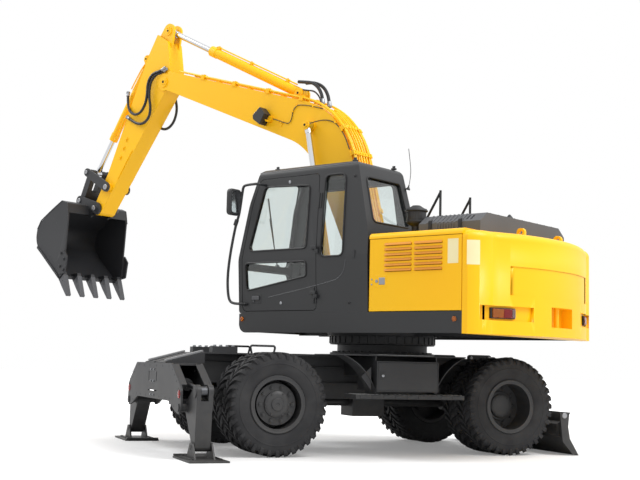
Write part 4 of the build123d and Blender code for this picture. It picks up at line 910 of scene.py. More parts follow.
WINDOWS = {
    "door_upper": ("cab_door", side_at, [(970, 2140, 60), (800, 2860, 60), (140, 2830, 50),
                                         (130, 2140, 50)]),
    "door_lower": ("cab_door", side_at, [(970, 1700, 50), (1005, 2010, 50), (120, 2000, 40),
                                         (110, 1840, 40)]),
    "side": ("upper", side_at, [(-70, 2040, 60), (-70, 2920, 60), (-345, 2920, 80),
                                (-375, 2040, 60)]),
    "right": ("upper", inner_at, [(940, 2060, 80), (780, 2900, 80), (-380, 2900, 80),
                                  (-500, 2060, 60)]),
    "front_upper": ("upper", front_at, [(400, 2020, 60), (1150, 2020, 60), (1085, 2975, 60),
                                        (440, 2975, 60)]),
    "front_lower": ("upper", front_at, [(400, 1560, 60), (1150, 1560, 60), (1150, 1950, 60),
                                        (400, 1950, 60)]),
    "back": ("upper", back_at, [(430, 2390, 60), (1090, 2390, 60), (1060, 2880, 60),
                                (450, 2880, 60)]),
}
for name, (body, skin, outline) in WINDOWS.items():
    tube(f"window_seal_{name}", [skin(a, b, 1) for a, b in rounded(outline)], 10, seal_rubber,
         body, UPPER, ends=2, round_=8)
print("window seals", len(WINDOWS))

# %% [markdown]
# The door has a handle in a recess, hinges under covers and a round lock. Their positions are
# given ahead of the swing axis and above the ground. The swage line is drawn as a thin bead of
# lighter grey, a painted highlight along the pressed groove, that runs from the door over to
# the rear corner post.

# %% Door furniture and swage line
bm = bmesh.new()
brick(bm, (748, SIDE - 6, 1556), (896, SIDE + 3, 1666))
settle("door_handle_recess", bm, black_plastic, "cab_door", UPPER, 8, 3)
bm = bmesh.new()
solid(bm, [(770, 1596), (770, 1640), (872, 1644), (876, 1600)], SIDE + 2, SIDE + 17)
brick(bm, (842, SIDE, 1572), (862, SIDE + 10, 1592))
settle("door_handle_paddle", bm, grip_plastic_and_swage_highlight, "cab_door", UPPER, 5, 3)
bm = bmesh.new()
for x, z in ((457, 1558), (436, 2888)):
    button(bm, side_at(x, z, -2), Y, 17, 5, 12, 8, 24)
settle("door_lock_and_plug", bm, zinc, "cab_door", UPPER, 0)
bm = bmesh.new()
for z0, z1 in ((2569, 2732), (1551, 1719)):
    for x, reach in ((-40, 8), (-14, 13)):
        low, high = side_at(x, z0, -6), side_at(x, z1, -6)
        made = brick(bm, (x, low[1], z0), (x + 22, low[1] + reach + 6, z1))
        shear = (high[1] - low[1]) / (z1 - z0)
        for v in made:
            v.co.y += shear * (v.co.z - z0)
settle("cab_hinge_covers", bm, black_plastic, "upper", UPPER, 4)
bm = bmesh.new()
for x, z in ((-476, 1549), (-464, 2878)):
    button(bm, side_at(x, z, -2), Y, 16, 4, 8, 12, 24)
settle("cab_side_plugs", bm, seal_rubber, "upper", UPPER, 0)
bm = bmesh.new()
solid(bm, rounded([(-500, 2006, 16), (-536, 2006, 16), (-536, 2092, 16), (-500, 2092, 16)])[:-1],
      SIDE - 8, SIDE + 5)
settle("door_catch", bm, black_plastic, "upper", UPPER, 3)
# the swage line is a bead in lighter grey: a painted highlight along the pressed groove
for name, body, line in (
        ("front", "cab_door", [(640, 1624), (470, 1652), (120, 1710), (-30, 1737)]),
        ("rear", "upper", [(-46, 1740), (-180, 1766), (-297, 1791), (-370, 1840), (-405, 1910),
                           (-414, 1997)])):
    tube(f"swage_line_{name}", [side_at(x, z, -1) for x, z in line], 4, grip_plastic_and_swage_highlight, body,
         UPPER, ends=3, round_=8)
print("cab side dressed")

# %% [markdown]
# Small things break the cab's outline: four lifting lugs and a whip aerial on the roof, a mirror
# on the handrail, a wiper on the windscreen and two lamps above it. The mirror is drawn square
# to the machine and then moved as one assembly to its clamp.

# %% Roof lugs, aerial, mirror, wiper and lamps
bm = bmesh.new()
for x, y in ((689, 1080), (-400, 1080), (-440, 440), (700, 440)):
    brick(bm, (x - 26, y - 20, 3046), (x + 26, y + 20, 3068))
    brick(bm, (x - 18, y - 8, 3060), (x + 18, y + 8, 3092))
settle("cab_roof_lugs", bm, black_plastic, "upper", UPPER, 5)
bm = bmesh.new()
lathe(bm, [(0, 0), (24, 0), (24, 12), (9, 34), (5, 60), (0, 60)], (-560, 340, 2830),
      (-0.3, 0, 1), 20)
settle("aerial_foot", bm, black_plastic, "upper", UPPER, 0)
tube("whip_aerial", [(-578, 340, 2888), (-600, 338, 3000), (-585, 336, 3140), (-560, 334, 3290)],
     3.5, black_plastic, "upper", UPPER, ends=3, round_=8)
MIRROR = UPPER @ Matrix.Translation((-170, 24, -36))
bm = bmesh.new()
mirror_face = rounded([(1288, 2600, 34), (1424, 2600, 34), (1424, 2840, 34), (1288, 2840, 34)])
solid(bm, mirror_face[:-1], 1200, 1206, "X")
settle("mirror_glass", bm, chrome, "upper", MIRROR, 0)
bm = bmesh.new()
solid(bm, rounded([(1262, 2572, 50), (1450, 2572, 50), (1450, 2868, 50), (1262, 2868, 50)])[:-1],
      1206, 1268, "X")
settle("mirror_housing", bm, black_plastic, "upper", MIRROR, 16, 3)
bm = bmesh.new()
rod(bm, (1122, 1290, 2436), (1096, 1290, 2500), 24, 20)
rod(bm, (1054, 1290, 2590), (1054, 1345, 2620), 12, 16)
rod(bm, (1036, 1290, 2740), (1056, 1345, 2740), 12, 16)
settle("mirror_clamp", bm, black_plastic, "upper", UPPER, 3)
bm = bmesh.new()
wiper = [front_at(560, 2030, 14), front_at(800, 2560, 16)]
rod(bm, wiper[0], wiper[1], 7, 12)
rod(bm, front_at(680, 2300, 12), front_at(900, 2780, 12), 9, 12)
rod(bm, front_at(560, 2026, 0), front_at(560, 2026, 30), 26, 20)
settle("windscreen_wiper", bm, black_plastic, "upper", UPPER, 0)
bm = bmesh.new()
for y in (480, 1060):
    solid(bm, [(y - 55, 2998), (y + 55, 2998), (y + 55, 3040), (y - 55, 3040)], 868, 925, "X")
settle("cab_head_lamps", bm, black_plastic, "upper", UPPER, 8, 3)
print("roof, mirror, wiper")

# %% [markdown]
# ## Operator's seat
#
# The seat is upholstered foam: a crowned cushion and a back with a waist and a headrest. Each
# pad starts as a block with its edges drawn round, is divided finely, and its faces are pushed
# out like stuffed fabric between the seams. The fabric is a grey weave with threads of about a
# millimetre.

# %% Padded seat
# the two thread directions multiply to a weave, and the sheen gives it a soft rim
weave, tree, shader, coords = new_material("woven_grey_seat_fabric")
THREADS = 500.0     # per metre
wave = {"Vector": coords, "Scale": THREADS, "Distortion": 1.0}
threads = add(tree, "ShaderNodeTexWave", wave)
across_threads = add(tree, "ShaderNodeTexWave", wave, bands_direction="Z")
crossings = both(tree, threads.outputs["Fac"], across_threads.outputs["Fac"])
wire(tree, shader, {
    "Base Color": ramp(tree, crossings, [(0.2, linear("3F4247")), (0.8, linear("5C6066"))]),
    "Normal": relief(tree, crossings, 0.4, 0.0008), "Roughness": 0.9, "Sheen Weight": 0.25})


def pad(name, low, high, swell, lean=0.0, waist=0.0):
    """A stuffed pad between two corners, with its middle swollen and its edges drawn in."""
    bm = bmesh.new()
    bmesh.ops.create_cube(bm, size=2.0)
    bmesh.ops.subdivide_edges(bm, edges=bm.edges, cuts=15, use_grid_fill=True)
    low, high = Vector(low), Vector(high)
    middle, half = (low + high) / 2, (high - low) / 2
    thin = min(range(3), key=lambda k: half[k])
    for v in bm.verts:
        c = v.co.copy()
        rim = 1.0
        for k in range(3):
            if k != thin:
                rim *= 1 - abs(c[k]) ** 6
        squeeze = 1 - 0.34 * (1 - rim)
        for k in range(3):
            if k == thin:
                v.co[k] = c[k] * (1 - swell + swell * rim) * squeeze
            else:
                others = max(abs(c[j]) for j in range(3) if j != k)
                v.co[k] = c[k] * (1 - 0.05 * others ** 8)
        if waist:
            v.co.y *= 1 - waist * cos(c.z * pi / 2)
        v.co = middle + Vector(v.co[k] * half[k] for k in range(3))
        v.co.x += lean * (v.co.z - middle.z)
    bmesh.ops.smooth_vert(bm, verts=bm.verts, factor=0.5, use_axis_x=True, use_axis_y=True,
                          use_axis_z=True)
    piece = settle(name, bm, weave, "upper", UPPER)
    return piece


MIDDLE = 760.0      # the seat's middle, from the centre line
cushion = pad("seat_cushion", (-195, MIDDLE - 226, 1766), (296, MIDDLE + 226, 1879), 0.3)
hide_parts("seat")
pad("seat_back", (-262, MIDDLE - 205, 1890), (-150, MIDDLE + 205, 2390), 0.3, -0.11, 0.08)
pad("seat_headrest", (-290, MIDDLE - 130, 2400), (-200, MIDDLE + 130, 2556), 0.25, -0.08)
bm = bmesh.new()
brick(bm, (-176, MIDDLE - 196, 1500), (216, MIDDLE + 196, 1560))
brick(bm, (-120, MIDDLE - 120, 1560), (170, MIDDLE + 120, 1640))
brick(bm, (-176, MIDDLE - 196, 1640), (216, MIDDLE + 196, 1762))
for y in (MIDDLE - 60, MIDDLE + 60):
    rod(bm, (-240, y, 2380), (-246, y, 2420), 8, 12)
settle("seat_base", bm, black_plastic, "upper", UPPER, 8, 3)
print("seat made")

# %% [markdown]
# ## Handrail
#
# One bent tube guards the cab's front corner. It leaves the roof's edge, drops past the mirror
# and swings back to the door's sill. Where it meets the cab it bends inwards to a welded foot.

# %% Handrail
RAIL_Y, RAIL_R = 1290.0, 15.0
RAIL = [(795, 2883), (975, 2882), (1012, 2868), (1024, 2815), (1063, 2553), (1111, 2452),
        (1187, 2114), (1216, 1869), (1206, 1700), (1180, 1600), (1130, 1562), (983, 1554)]
spots = [(RAIL[0][0], 1095, RAIL[0][1]), (RAIL[0][0], 1250, RAIL[0][1])]
spots += [(x, RAIL_Y, z) for x, z in RAIL]
spots += [(RAIL[-1][0] - 30, 1250, RAIL[-1][1]), (RAIL[-1][0] - 40, 1095, RAIL[-1][1])]
rail = tube("bent_handrail", spots, RAIL_R, charcoal_enamel, "upper", UPPER)
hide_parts("handrail")
bm = bmesh.new()
for x, z in ((RAIL[0][0], RAIL[0][1]), (RAIL[-1][0] - 40, RAIL[-1][1])):
    rod(bm, (x, 1100, z), (x, 1136, z), 26, 20)
settle("handrail_feet", bm, charcoal_enamel, "upper", UPPER, 2)
print("handrail bent")

# %% [markdown]
# ## Louvres, latches and blank plates
#
# The engine bay breathes through louvres: each slot has a pressed lip above it that keeps rain
# out. Next to them sit the door's latch and one of two pale plates that would carry notices; the
# other is on the counterweight. Both are left blank.

# %% Engine bay doors
# the same paint, a shade deeper on the lips and darker inside the slots: painted shade, for the little light that
# gets between the louvres
louvre_enamel_painted_shade = enamel("sprayed_enamel_yellow_painted_shade", "E3930C", "DB8C0B", 0.5, coat=0.0)
louvre_shade = enamel("sprayed_enamel_yellow_in_the_shade", "9A5F0C", "8F580B", 0.6, coat=0.0)
for side, word in SIDES:
    y = side * SIDE
    bm = bmesh.new()
    for x0, x1 in ((-1602, -1278), (-1242, -918)):
        for k in range(6):
            z = 1850 + 52 * k
            lip = [(y - side * 14, z + 32), (y + side * 1, z + 31), (y + side * 15, z + 10),
                   (y + side * 15, z + 3), (y + side * 11, z + 3), (y - side * 8, z + 24)]
            solid(bm, lip, x0, x1, "X")
    settle(f"louvre_lips_{word}", bm, louvre_enamel_painted_shade, f"bay_door_{word}", UPPER, 2)
    bm = bmesh.new()
    low, high = sorted((y - side * 3, y + side * 3))
    brick(bm, (-944, low, 1698), (-793, high, 1817))
    settle(f"bay_latch_plate_{word}", bm, yellow_enamel, f"bay_door_{word}", UPPER, 6)
    bm = bmesh.new()
    low, high = sorted((y - side * 2, y + side * 6))
    brick(bm, (-925, low, 1722), (-850, high, 1794))
    rod(bm, (-824, y, 1758), (-824, y + side * 9, 1758), 17, 24)
    for z in (1727, 1778):
        rod(bm, (-760, y, z), (-760, y + side * 6, z), 9, 16)
    settle(f"bay_latch_{word}", bm, zinc, f"bay_door_{word}", UPPER, 3)
blank_plate = moulded("printed_vinyl_plate_cream", "F5E9B8", 0.35, 0.5, 0.02, 0.4, "F1E2A8")
bm = bmesh.new()
brick(bm, (-1785, SIDE - 1, 1908), (-1665, SIDE + 1.6, 2146))
settle("blank_plate_on_door", bm, blank_plate, "bay_door_left", UPPER, 0)
# the counterweight's corner is an arc, and its plate bends with it
CORNER_X, CORNER_Y, CORNER_R = -1721.2, 981.2, 304.9
bend = [radians(a) for a in range(122, 150, 4)]
plate = [(CORNER_X + out * cos(a), CORNER_Y + out * sin(a))
         for out, turns in ((CORNER_R + 0.7, bend), (CORNER_R - 6, bend[::-1])) for a in turns]
bm = bmesh.new()
solid(bm, plate, 1890, 2125, "Z")
settle("blank_plate_on_counterweight", bm, blank_plate, "upper", UPPER, 0)
# shaded paint inside the slots, which get little light
for side, word in SIDES:
    bm = bmesh.new()
    low, high = span(side, SIDE - 16, SIDE - 13)
    for x0, x1 in ((-1602, -1278), (-1242, -918)):
        brick(bm, (x0, low, 1850), (x1, high, 2148))
    settle(f"louvre_backs_{word}", bm, louvre_shade, f"bay_door_{word}", UPPER, 0)
print("engine bay doors dressed")

# %% [markdown]
# ## Tail of the machine
#
# Each lamp cluster has an amber, a red and a white part in a dark tray. Marker lamps sit on the
# deck's skirt.

# %% Lamps
TAIL_BEND = 2250.0       # radius of the counterweight's back


def on_tail(y, z, out=0.0):
    """Spot on the counterweight's bowed back."""
    reach = TAIL_BEND + out
    return Vector((-(reach ** 2 - y ** 2) ** 0.5, y, z))


def tail_patch(bm, y0, y1, z0, z1, out0, out1, steps=8):
    """Curved slab that follows the bowed back."""
    rings = []
    for k in range(steps + 1):
        y = y0 + (y1 - y0) * k / steps
        rings.append([bm.verts.new(on_tail(y, z, out))
                      for z, out in ((z0, out0), (z1, out0), (z1, out1), (z0, out1))])
    loops = [[bm.edges.new((ring[i], ring[(i + 1) % 4])) for i in range(4)] for ring in rings]
    for near, far in zip(loops, loops[1:]):
        bmesh.ops.bridge_loops(bm, edges=near + far)
    for ring in (rings[0], rings[-1]):
        bm.faces.new(ring)


for side, word in SIDES:
    for name, material, start, end in (
            ("turn_lens", amber_lens, 870, 985), ("stop_lens", red_lens, 776, 867),
            ("reverse_lens", clear_lens, 738, 773)):
        bm = bmesh.new()
        y0, y1 = span(side, start, end)
        tail_patch(bm, y0, y1, 1398, 1482, -12, 3)
        settle(f"{name}_{word}", bm, material, "upper", UPPER, 6, 3)
    bm = bmesh.new()
    y0, y1 = span(side, 728, 995)
    tail_patch(bm, y0, y1, 1388, 1492, -31, -11)
    settle(f"lamp_tray_{word}", bm, black_plastic, "upper", UPPER, 4)
bm = bmesh.new()
for x, z in ((1025, 1390), (-1745, 1375)):
    for side in (1, -1):
        lathe(bm, [(0, 0), (26, 0), (26, 8), (18, 15), (0, 17)], (x, side * SIDE, z),
              Y * side, 28)
settle("skirt_marker_lamps", bm, amber_lens, "upper", UPPER, 0)
print("lamps lit by the studio only")

# %% [markdown]
# The hood's side slots and the ribs between them are pressed steel, the latches are stretched
# rubber, and a small cone stands on its top. The air pre-cleaner gets its cap and its bands, and
# two bent tubes behind the cab guard the way up to the bay.

# %% Hood, latches, pre-cleaner and service rails
HOOD_SIDE, HOOD_EDGE, HOOD_TOP = 880.0, 750.0, 2450.0
bm = bmesh.new()
for side in (1, -1):
    for k in range(9):
        x = -1195 - 50 * k
        rib = [(side * (HOOD_SIDE + 3), 2366), (side * (HOOD_EDGE + 4), 2456),
               (side * (HOOD_EDGE - 6), 2448), (side * (HOOD_SIDE - 8), 2358)]
        solid(bm, rib, x + 5, x + 23, "X")
    for k in range(7):
        x = -1312 - 32 * k
        low, high = span(side, HOOD_SIDE - 3, HOOD_SIDE + 8)
        solid(bm, [(low, 2288), (high, 2292), (high, 2350), (low, 2354)], x, x + 15, "X")
for y in range(-640, 641, 160):
    brick(bm, (-1786, y - 12, HOOD_TOP - 2), (-1104, y + 12, HOOD_TOP + 9))
settle("hood_ribs", bm, hood_enamel_painted_light, "hood", UPPER, 3)
bm = bmesh.new()
for side in (1, -1):
    for x in (-1222, -1578):
        pull = [(side * (HOOD_SIDE - 20), 2400), (side * (HOOD_SIDE + 10), 2386),
                (side * (HOOD_SIDE + 16), 2360), (side * (HOOD_SIDE + 14), 2292),
                (side * (HOOD_SIDE + 2), 2276), (side * (HOOD_SIDE - 2), 2352)]
        solid(bm, pull, x - 17, x + 17, "X")
        rod(bm, (x - 26, side * (HOOD_SIDE + 8), 2292), (x + 26, side * (HOOD_SIDE + 8), 2292),
            9, 16)
settle("hood_rubber_latches", bm, seal_rubber, "hood", UPPER, 3)
bm = bmesh.new()
lathe(bm, [(0, 0), (42, 0), (42, 6), (12, 44), (6, 48), (0, 48)], (-1740, 190, HOOD_TOP),
      Z, 32)
settle("hood_cone", bm, black_plastic, "hood", UPPER, 0)
bm = bmesh.new()
STACK = (-950, 735, 2250)    # foot of the pre-cleaner's pipe
lathe(bm, [(0, 262), (112, 262), (121, 268), (121, 276), (108, 292), (60, 306), (20, 318),
           (0, 320)], STACK, Z, 48)
lathe(bm, [(104, 148), (109, 152), (109, 166), (104, 170)], STACK, Z, 48)
lathe(bm, [(46, 40), (54, 44), (54, 58), (46, 62)], STACK, Z, 40)
settle("pre_cleaner_cap_and_bands", bm, black_plastic, "upper", UPPER, 0)
RAIL_FRONT, RAIL_BACK, RAIL_HALF = -735, -960, 300
for side, word in SIDES:
    y = side * RAIL_HALF
    tube(f"service_rail_{word}", [
        (RAIL_FRONT, y, 2246), (RAIL_FRONT, y, 2420), (RAIL_BACK, y, 2780),
        (RAIL_BACK, y, 2800), (RAIL_BACK, y, 2600), (RAIL_BACK, y, 2252)],
        14, charcoal_enamel, "upper", UPPER, 2)
bm = bmesh.new()
for y in (RAIL_HALF, -RAIL_HALF):
    for x in (RAIL_FRONT, RAIL_BACK):
        rod(bm, (x, y, 2248), (x, y, 2256), 34, 24)
settle("service_rail_feet", bm, charcoal_enamel, "upper", UPPER, 2)
print("hood and rails")

# %% [markdown]
# ## Wheels and turntable
#
# The steered hubs stand nearly flush with the tyre, the driven ones sit deep in the rim. Ten
# nuts hold each. A lock ring and a valve stem finish the rim. The turntable shows a row of
# cast segments with its bolts between them.

# %% Hubs, nuts and turntable
def ring_of(count, radius, height, phase=0.0):
    """Spots evenly round the Z axis."""
    return [(radius * cos(turn), radius * sin(turn), height)
            for turn in (2 * pi * (k + phase) / count for k in range(count))]


NUTS, NUT_SIZE, STUD = 10, 17, 27
# nuts: radius of their ring, height of their seat; bolts of the cap: count, radius, height, size
FRONT_HUB, REAR_HUB = (168, 205), (196, 13)
FRONT_CAP, REAR_CAP = (6, 112, 242, 9), (8, 108, 96, 8)
LOCK_RING = [(250, 268), (268, 274), (279, 276), (284, 270), (282, 260), (270, 262)]
FRONT_LID = [(0, 249), (60, 249), (66, 256), (60, 262), (18, 264), (14, 258), (0, 258)]
REAR_COLLAR = [(150, 58), (156, 62), (150, 68), (132, 72)]
ORIGIN = (0, 0, 0)
for spot, axle in AXLES.items():
    front = "front" in spot
    bm = bmesh.new()
    for seat in ring_of(NUTS, *(FRONT_HUB if front else REAR_HUB)):
        bolt(bm, seat, Z, NUT_SIZE)
        rod(bm, seat, Vector(seat) + Z * STUD, 8, 14)
    settle(f"wheel_nuts_{spot}", bm, chassis_enamel, f"wheel_{spot}", axle, 1)
    bm = bmesh.new()
    lathe(bm, LOCK_RING, ORIGIN, Z, 72)
    if front:
        lathe(bm, FRONT_LID, ORIGIN, Z, 36)
    else:
        lathe(bm, REAR_COLLAR, ORIGIN, Z, 48)
    *ring, size = FRONT_CAP if front else REAR_CAP
    for seat in ring_of(*ring):
        bolt(bm, seat, Z, size)
    rod(bm, (222, 40, 20), (236, 44, 120), 6, 10)
    settle(f"rim_trim_{spot}", bm, chassis_enamel, f"wheel_{spot}", axle, 2)

bm = bmesh.new()
SEGMENTS = 40
for k in range(SEGMENTS):
    made = brick(bm, (586, -26, 1152), (600, 26, 1230))
    bmesh.ops.rotate(bm, verts=made, cent=(0, 0, 0),
                     matrix=Matrix.Rotation(2 * pi * k / SEGMENTS, 3, "Z"))
settle("turntable_segments", bm, charcoal_enamel, "upper", UPPER, 4)
bm = bmesh.new()
for seat in ring_of(SEGMENTS, 548, 1049, 0.5):
    bolt(bm, seat, Z, 14)
settle("turntable_bolts", bm, chassis_enamel, "carrier", CARRIER, 1)
print("wheels and turntable")

# %% [markdown]
# ## Frame and outriggers
#
# Bolts, reflectors, latches, grease lines and hoses are what a bare frame lacks. Reflectors are
# moulded red discs. The steps carry rows of pressed treads. Each list of numbers is a row of
# places along the frame, and both sides of the machine get the same.

# %% Chassis details
BOX_FRONT, BOX_BACK = 2630, 2310    # faces of the outriggers' cross box
bm = bmesh.new()
for side in (1, -1):
    for x in (1885, 1950, 2020, 2085):
        bolt(bm, (x, side * 400, 1072), Z, 15)
    for x in (-1130, -900):
        bolt(bm, (x, side * 435, 1022), Y * side, 16)
    for k in range(9):
        bolt(bm, (2336, side * (90 + 70 * k), 540), Z, 9)
    for z in (560, 700, 820):
        bolt(bm, (BOX_FRONT, side * 60, z), X, 11)
    for x in (1250, 1500, 1900, 2150):
        bolt(bm, (x, side * 372, 716), Z, 12)
settle("frame_bolts", bm, zinc, "carrier", CARRIER, 1)
bm = bmesh.new()
for side in (1, -1):
    solid(bm, [(1822, 900), (1888, 900), (1888, 1010), (1822, 1010)],
          *span(side, 333, 347))
    solid(bm, [(640, 660), (640, 900), (750, 800)], *span(side, 1128, 1140))
    for k in range(9):
        x = -340 + 130 * k
        low, high = span(side, 1196, 1206)
        brick(bm, (x, low, 582), (x + 84, high, 612))
settle("straps_gussets_and_step_lips", bm, chassis_enamel, "carrier", CARRIER, 3)
# pale grey strips along the top faces of the front slope
bm = bmesh.new()
for side in (1, -1):
    low, high = span(side, 322, 408)
    solid(bm, [(2205, 1012), (2590, 909), (2592, 927), (2207, 1030)], low, high)
settle("pale_strips_on_front_slope", bm, pale_top_plate_grey, "carrier", CARRIER, 2)
tread = enamel("step_plate_galvanised_grey", "A4A5A5", "8E9090", 0.5, coat=0.0, dust="7A766C")
bm = bmesh.new()
for side in (1, -1):
    for k in range(24):
        x = -380 + 50 * k
        low, high = span(side, 925, 1178)
        brick(bm, (x, low, 619), (x + 26, high, 624))
    low, high = span(side, 900, 1149)
    brick(bm, (-60, low, 1021), (560, high, 1026))
settle("step_treads", bm, tread, "carrier", CARRIER, 1)
bm = bmesh.new()
brick(bm, (505, 1188, 770), (560, 1193, 850))
settle("tool_box_latch_plate", bm, black_plastic, "side_box_door", CARRIER, 3)
bm = bmesh.new()
button(bm, (532, 1192, 812), Y, 15, 5, 10, 8, 24)
settle("tool_box_lock", bm, zinc, "side_box_door", CARRIER, 0)
bm = bmesh.new()
for side in (1, -1):
    for x, way in ((BOX_FRONT, X), (BOX_BACK, -X)):
        button(bm, (x, side * 1120, 600), way, 40, 6, 32, 10)
settle("round_reflectors", bm, red_lens, "carrier", CARRIER, 0)
# flat dark discs on the cross box's plates: painted shade where the holes are
bm = bmesh.new()
for side in (1, -1):
    for y, z in ((1080, 650), (1000, 720), (905, 780), (820, 830), (1110, 560), (930, 480),
                 (760, 545), (300, 545), (560, 545), (420, 860), (150, 860), (680, 860)):
        lathe(bm, [(0, 2), (10, 2), (13, 0), (10, 0)], (BOX_FRONT, side * y, z), X, 16)
settle("painted_shade_in_plate_holes", bm, black_plastic, "carrier", CARRIER, 0)
print("frame dressed")

# %% [markdown]
# The outriggers' pins end in turned bosses, and their foot plates have ribs and a turned-up inner
# edge. Oil and brake lines run along the frame. Bolts hold the blade's cutting edge.

# %% Outriggers, blade and lines
CRANK, PIVOT = (1400, 635), (1120, 470)     # across and above the ground
FOOT_Y = 1385
for side, word in SIDES:
    bm = bmesh.new()
    for x, out in ((2385, -1), (2555, 1)):
        for (y, z), boss in ((CRANK, (60, 10, 40, 14)), (PIVOT, (46, 8, 30, 12))):
            button(bm, (x - out * 7, side * y, z), X * out, *boss, 36)
    settle(f"leg_bosses_{word}", bm, chassis_enamel, f"outrigger_leg_{word}", CARRIER, 2)
    bm = bmesh.new()
    foot_y = side * FOOT_Y
    for x in (2318, 2612):
        low, high = foot_y - 240, foot_y + 240
        solid(bm, [(low, 17), (high, 17), (high - 60, 30), (low + 60, 30)], x - 6, x + 6, "X")
    inner_edge = foot_y - side * 308
    solid(bm, [(inner_edge, 2), (inner_edge - side * 26, 34), (inner_edge - side * 12, 38),
               (inner_edge + side * 12, 18)], 2290, 2650, "X")
    for x in (2340, 2600):
        for across in (180, -180):
            bolt(bm, (x, foot_y + across, 18), Z, 13)
    settle(f"foot_ribs_{word}", bm, chassis_enamel, f"outrigger_foot_{word}", CARRIER, 2)
    tube(f"outrigger_hose_{word}", [(2352, side * 150, 800), (2350, side * 300, 845),
                                    (2350, side * 480, 845), (2352, side * 640, 820)],
         12, hose_rubber, "carrier", CARRIER)
    tube(f"brake_hose_{word}", [(1560, side * 340, 840), (1540, side * 470, 800),
                                (1560, side * 560, 680), (1600, side * 600, 600)],
         9, hose_rubber, "carrier", CARRIER)
    tube(f"frame_line_{word}", [(-1350, side * 352, 930), (-500, side * 352, 930),
                                (-300, side * 352, 880), (1300, side * 352, 880),
                                (1500, side * 352, 930), (2200, side * 352, 930)],
         9, chassis_enamel, "carrier", CARRIER, 3)
bm = bmesh.new()
EDGE_BOLTS, EDGE_PITCH = 17, 147.5
for k in range(EDGE_BOLTS):
    bolt(bm, (-1722, -1180 + EDGE_PITCH * k, 70), (-0.9, 0, 0.45), 14)
settle("cutting_edge_bolts", bm, chassis_enamel, "blade", CARRIER, 1)
bm = bmesh.new()
for side in (1, -1):
    for x, half, z, r in ((-1320, 418, 640, 46), (-1590, 1249, 425, 30)):
        button(bm, (x, side * half, z), Y * side, r, 8, r * 0.7, 12)
settle("blade_pin_ends", bm, pin_steel, "blade", CARRIER, 1)
print("outriggers and blade dressed")

# %% [markdown]
# ## Bucket, rocker and link
#
# Cast tips are driven onto the bucket's teeth and held by a cross pin. The outside carries wear
# strips and side cutters, and weld beads run along the edges of its side plates. The pin ends of
# bucket and rocker are bare steel.

# %% Bucket
# bare castings, scoured by the soil
cast_steel = enamel("scoured_cast_steel", "55565A", "494A4D", 0.42, coat=0.0, wear="8A8B8D")
BUCKET_HALF = 540.0
bm = bmesh.new()
for k in range(5):
    y = (k - 2) * (2 * BUCKET_HALF - 100) / 4
    cap = [(-96, -1082), (-150, -966), (-250, -1090), (-340, -1206), (-330, -1232), (-180, -1140)]
    solid(bm, cap, y - 40, y + 40)
    rod(bm, (-160, y - 48, -1058), (-160, y + 48, -1058), 11, 14)
settle("cast_tooth_tips", bm, cast_steel, "bucket", BUCKET, 7, 3)
bm = bmesh.new()
for y in (-340, 0, 340):
    strip = [(150, -968), (432, -874), (560, -828), (566, -842), (436, -890), (150, -984)]
    solid(bm, strip, y - 42, y + 42)
for side in (1, -1):
    low, high = span(side, BUCKET_HALF - 4, BUCKET_HALF + 12)
    solid(bm, [(-83, -1052), (420, -862), (560, -812), (560, -780), (420, -826), (-60, -1010)],
          low, high)
    for x, z in ((-20, -700), (-110, -760), (-70, -880), (-160, -900)):
        bolt(bm, (x, side * (BUCKET_HALF + 22), z), Y * side, 17)
settle("bucket_wear_strips", bm, bucket_enamel, "bucket", BUCKET, 4)
for side, word in SIDES:
    tube(f"weld_bead_{word}", [(76, side * 541, -180), (176, side * 541, -16),
                               (294, side * 541, -18), (446, side * 541, -186),
                               (640, side * 541, -420), (672, side * 541, -560)],
         6, bucket_enamel, "bucket", BUCKET, 2)
bm = bmesh.new()
for x, reach in ((0, 214), (401, 176)):
    for side in (1, -1):
        pin_end(bm, x, side * (reach - 6), 0, 34, 14)
settle("bucket_pin_ends", bm, pin_steel, "bucket", BUCKET, 1)
ROCKER_TOP = (5148, 3568)    # ahead of the swing axis and above the ground
bm = bmesh.new()
for side in (1, -1):
    pin_end(bm, ROCKER_TOP[0], side * 204, ROCKER_TOP[1], 28, 14)
settle("rocker_top_pin_ends", bm, pin_steel, "rocker", UPPER, 1)
print("bucket dressed")

# %% [markdown]
# ## Studio
#
# The machine stands in a white studio. The floor is a wide white sheet that keeps the shadow
# near the machine and fades to pure white some metres away. For the camera, for reflections and
# through glass the world is white too. The light on the machine itself is plain: a soft sky from
# all round, a large lamp from high on the camera's side and a weaker one from behind.

# %% Floor, world and lamps
SHADOW_ENDS, WHITE_FROM = 4.5, 9.0     # metres from the machine; the sheet fades to white
middle = (Vector(CAD_BOX[0]) + Vector(CAD_BOX[1])) / 2
bm = bmesh.new()
bmesh.ops.create_grid(bm, x_segments=1, y_segments=1, size=60.0)
floor_mesh = bpy.data.meshes.new("studio_floor")
bm.to_mesh(floor_mesh)
bm.free()
floor = bpy.data.objects.new("studio_floor", floor_mesh)
bpy.context.scene.collection.objects.link(floor)
floor_paint, tree, shader, coords = new_material("matt_white_studio_paint")
seen = add(tree, "ShaderNodeLightPath")
away = add(tree, "ShaderNodeVectorMath", {0: coords, 1: tuple(middle)}, operation="SUBTRACT")
away = add(tree, "ShaderNodeVectorMath", {0: away.outputs[0], 1: (1, 1, 0)}, operation="MULTIPLY")
away = add(tree, "ShaderNodeVectorMath", {0: away.outputs[0]}, operation="LENGTH")
fade = stretch(tree, away.outputs["Value"], 0.18, 1.0, SHADOW_ENDS, WHITE_FROM)
wire(tree, shader, {"Base Color": grey(0.82), "Roughness": 0.9, "Specular IOR Level": 0.1,
                    "Emission Color": grey(1.0),
                    "Emission Strength": both(tree, seen.outputs["Is Camera Ray"], fade)})
floor_mesh.materials.append(floor_paint)

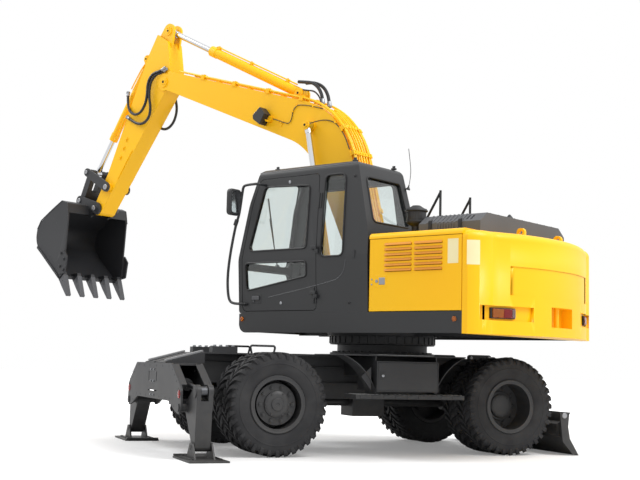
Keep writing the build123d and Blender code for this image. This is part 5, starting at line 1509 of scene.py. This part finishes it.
scene = bpy.context.scene
world = bpy.data.worlds.new("studio_sky")
scene.world = world
world.use_nodes = True
tree = world.node_tree
tree.nodes.clear()
path = add(tree, "ShaderNodeLightPath")
either = both(tree, path.outputs["Is Camera Ray"], path.outputs["Is Glossy Ray"], "MAXIMUM")
direct = both(tree, either, path.outputs["Is Transmission Ray"], "MAXIMUM")
SKY = 0.8     # what the world gives as light; seen directly it is 1
sky = add(tree, "ShaderNodeBackground", {"Color": grey(1.0),
                                         "Strength": stretch(tree, direct, SKY, 1.0)})
add(tree, "ShaderNodeOutputWorld", {"Surface": sky.outputs[0]})


def lamp(name, spot, target, size, watts):
    """Large soft area lamp."""
    light = bpy.data.lights.new(name, "AREA")
    light.size = size
    light.energy = watts
    shine = bpy.data.objects.new(name, light)
    shine.matrix_world = Matrix.Translation(spot) @ (
        Vector(target) - Vector(spot)).to_track_quat("-Z", "Y").to_matrix().to_4x4()
    bpy.context.scene.collection.objects.link(shine)


lamp("key_softbox", middle + Vector((-5.5, 9.0, 10.0)), middle, 7.0, 1500.0)
lamp("rim_softbox", middle + Vector((8.0, -6.0, 9.0)), middle, 6.0, 700.0)
print("lamps", len(bpy.data.lights))

# %% [markdown]
# ## Camera
#
# The camera stands a little under a metre above the ground, off the carrier's left side, and
# looks slightly up, so the working gear towers over it. Its place was measured in the carrier's
# frame.

# %% Camera
SENSOR = 36.0                              # millimetres
EYE = Vector((5336, 11574, 930))           # millimetres, carrier's frame
BEARING, RISE, ROLL = radians(21.11), radians(6.066), radians(1.362)
FOCAL_SHARE = 1.74609375                   # focal length over the width of the sensor
look = Vector((-sin(BEARING) * cos(RISE), -cos(BEARING) * cos(RISE), sin(RISE)))
level_right = look.cross(Vector((0, 0, 1))).normalized()
level_up = level_right.cross(look)
right = cos(ROLL) * level_right + sin(ROLL) * level_up
up = cos(ROLL) * level_up - sin(ROLL) * level_right
camera = bpy.data.objects.new("camera", bpy.data.cameras.new("camera"))
camera.data.sensor_width = SENSOR
camera.data.lens = SENSOR * FOCAL_SHARE
camera.data.shift_x = 0.0108
camera.data.shift_y = 0.0056
camera.data.clip_end = 200.0
camera.matrix_world = Matrix.Translation(CARRIER @ EYE) @ Matrix(
    (right, up, -look)).transposed().to_4x4()
scene.collection.objects.link(camera)
scene.camera = camera
scene.view_settings.view_transform = "Standard"
print("camera at", tuple(round(v, 2) for v in camera.matrix_world.translation))
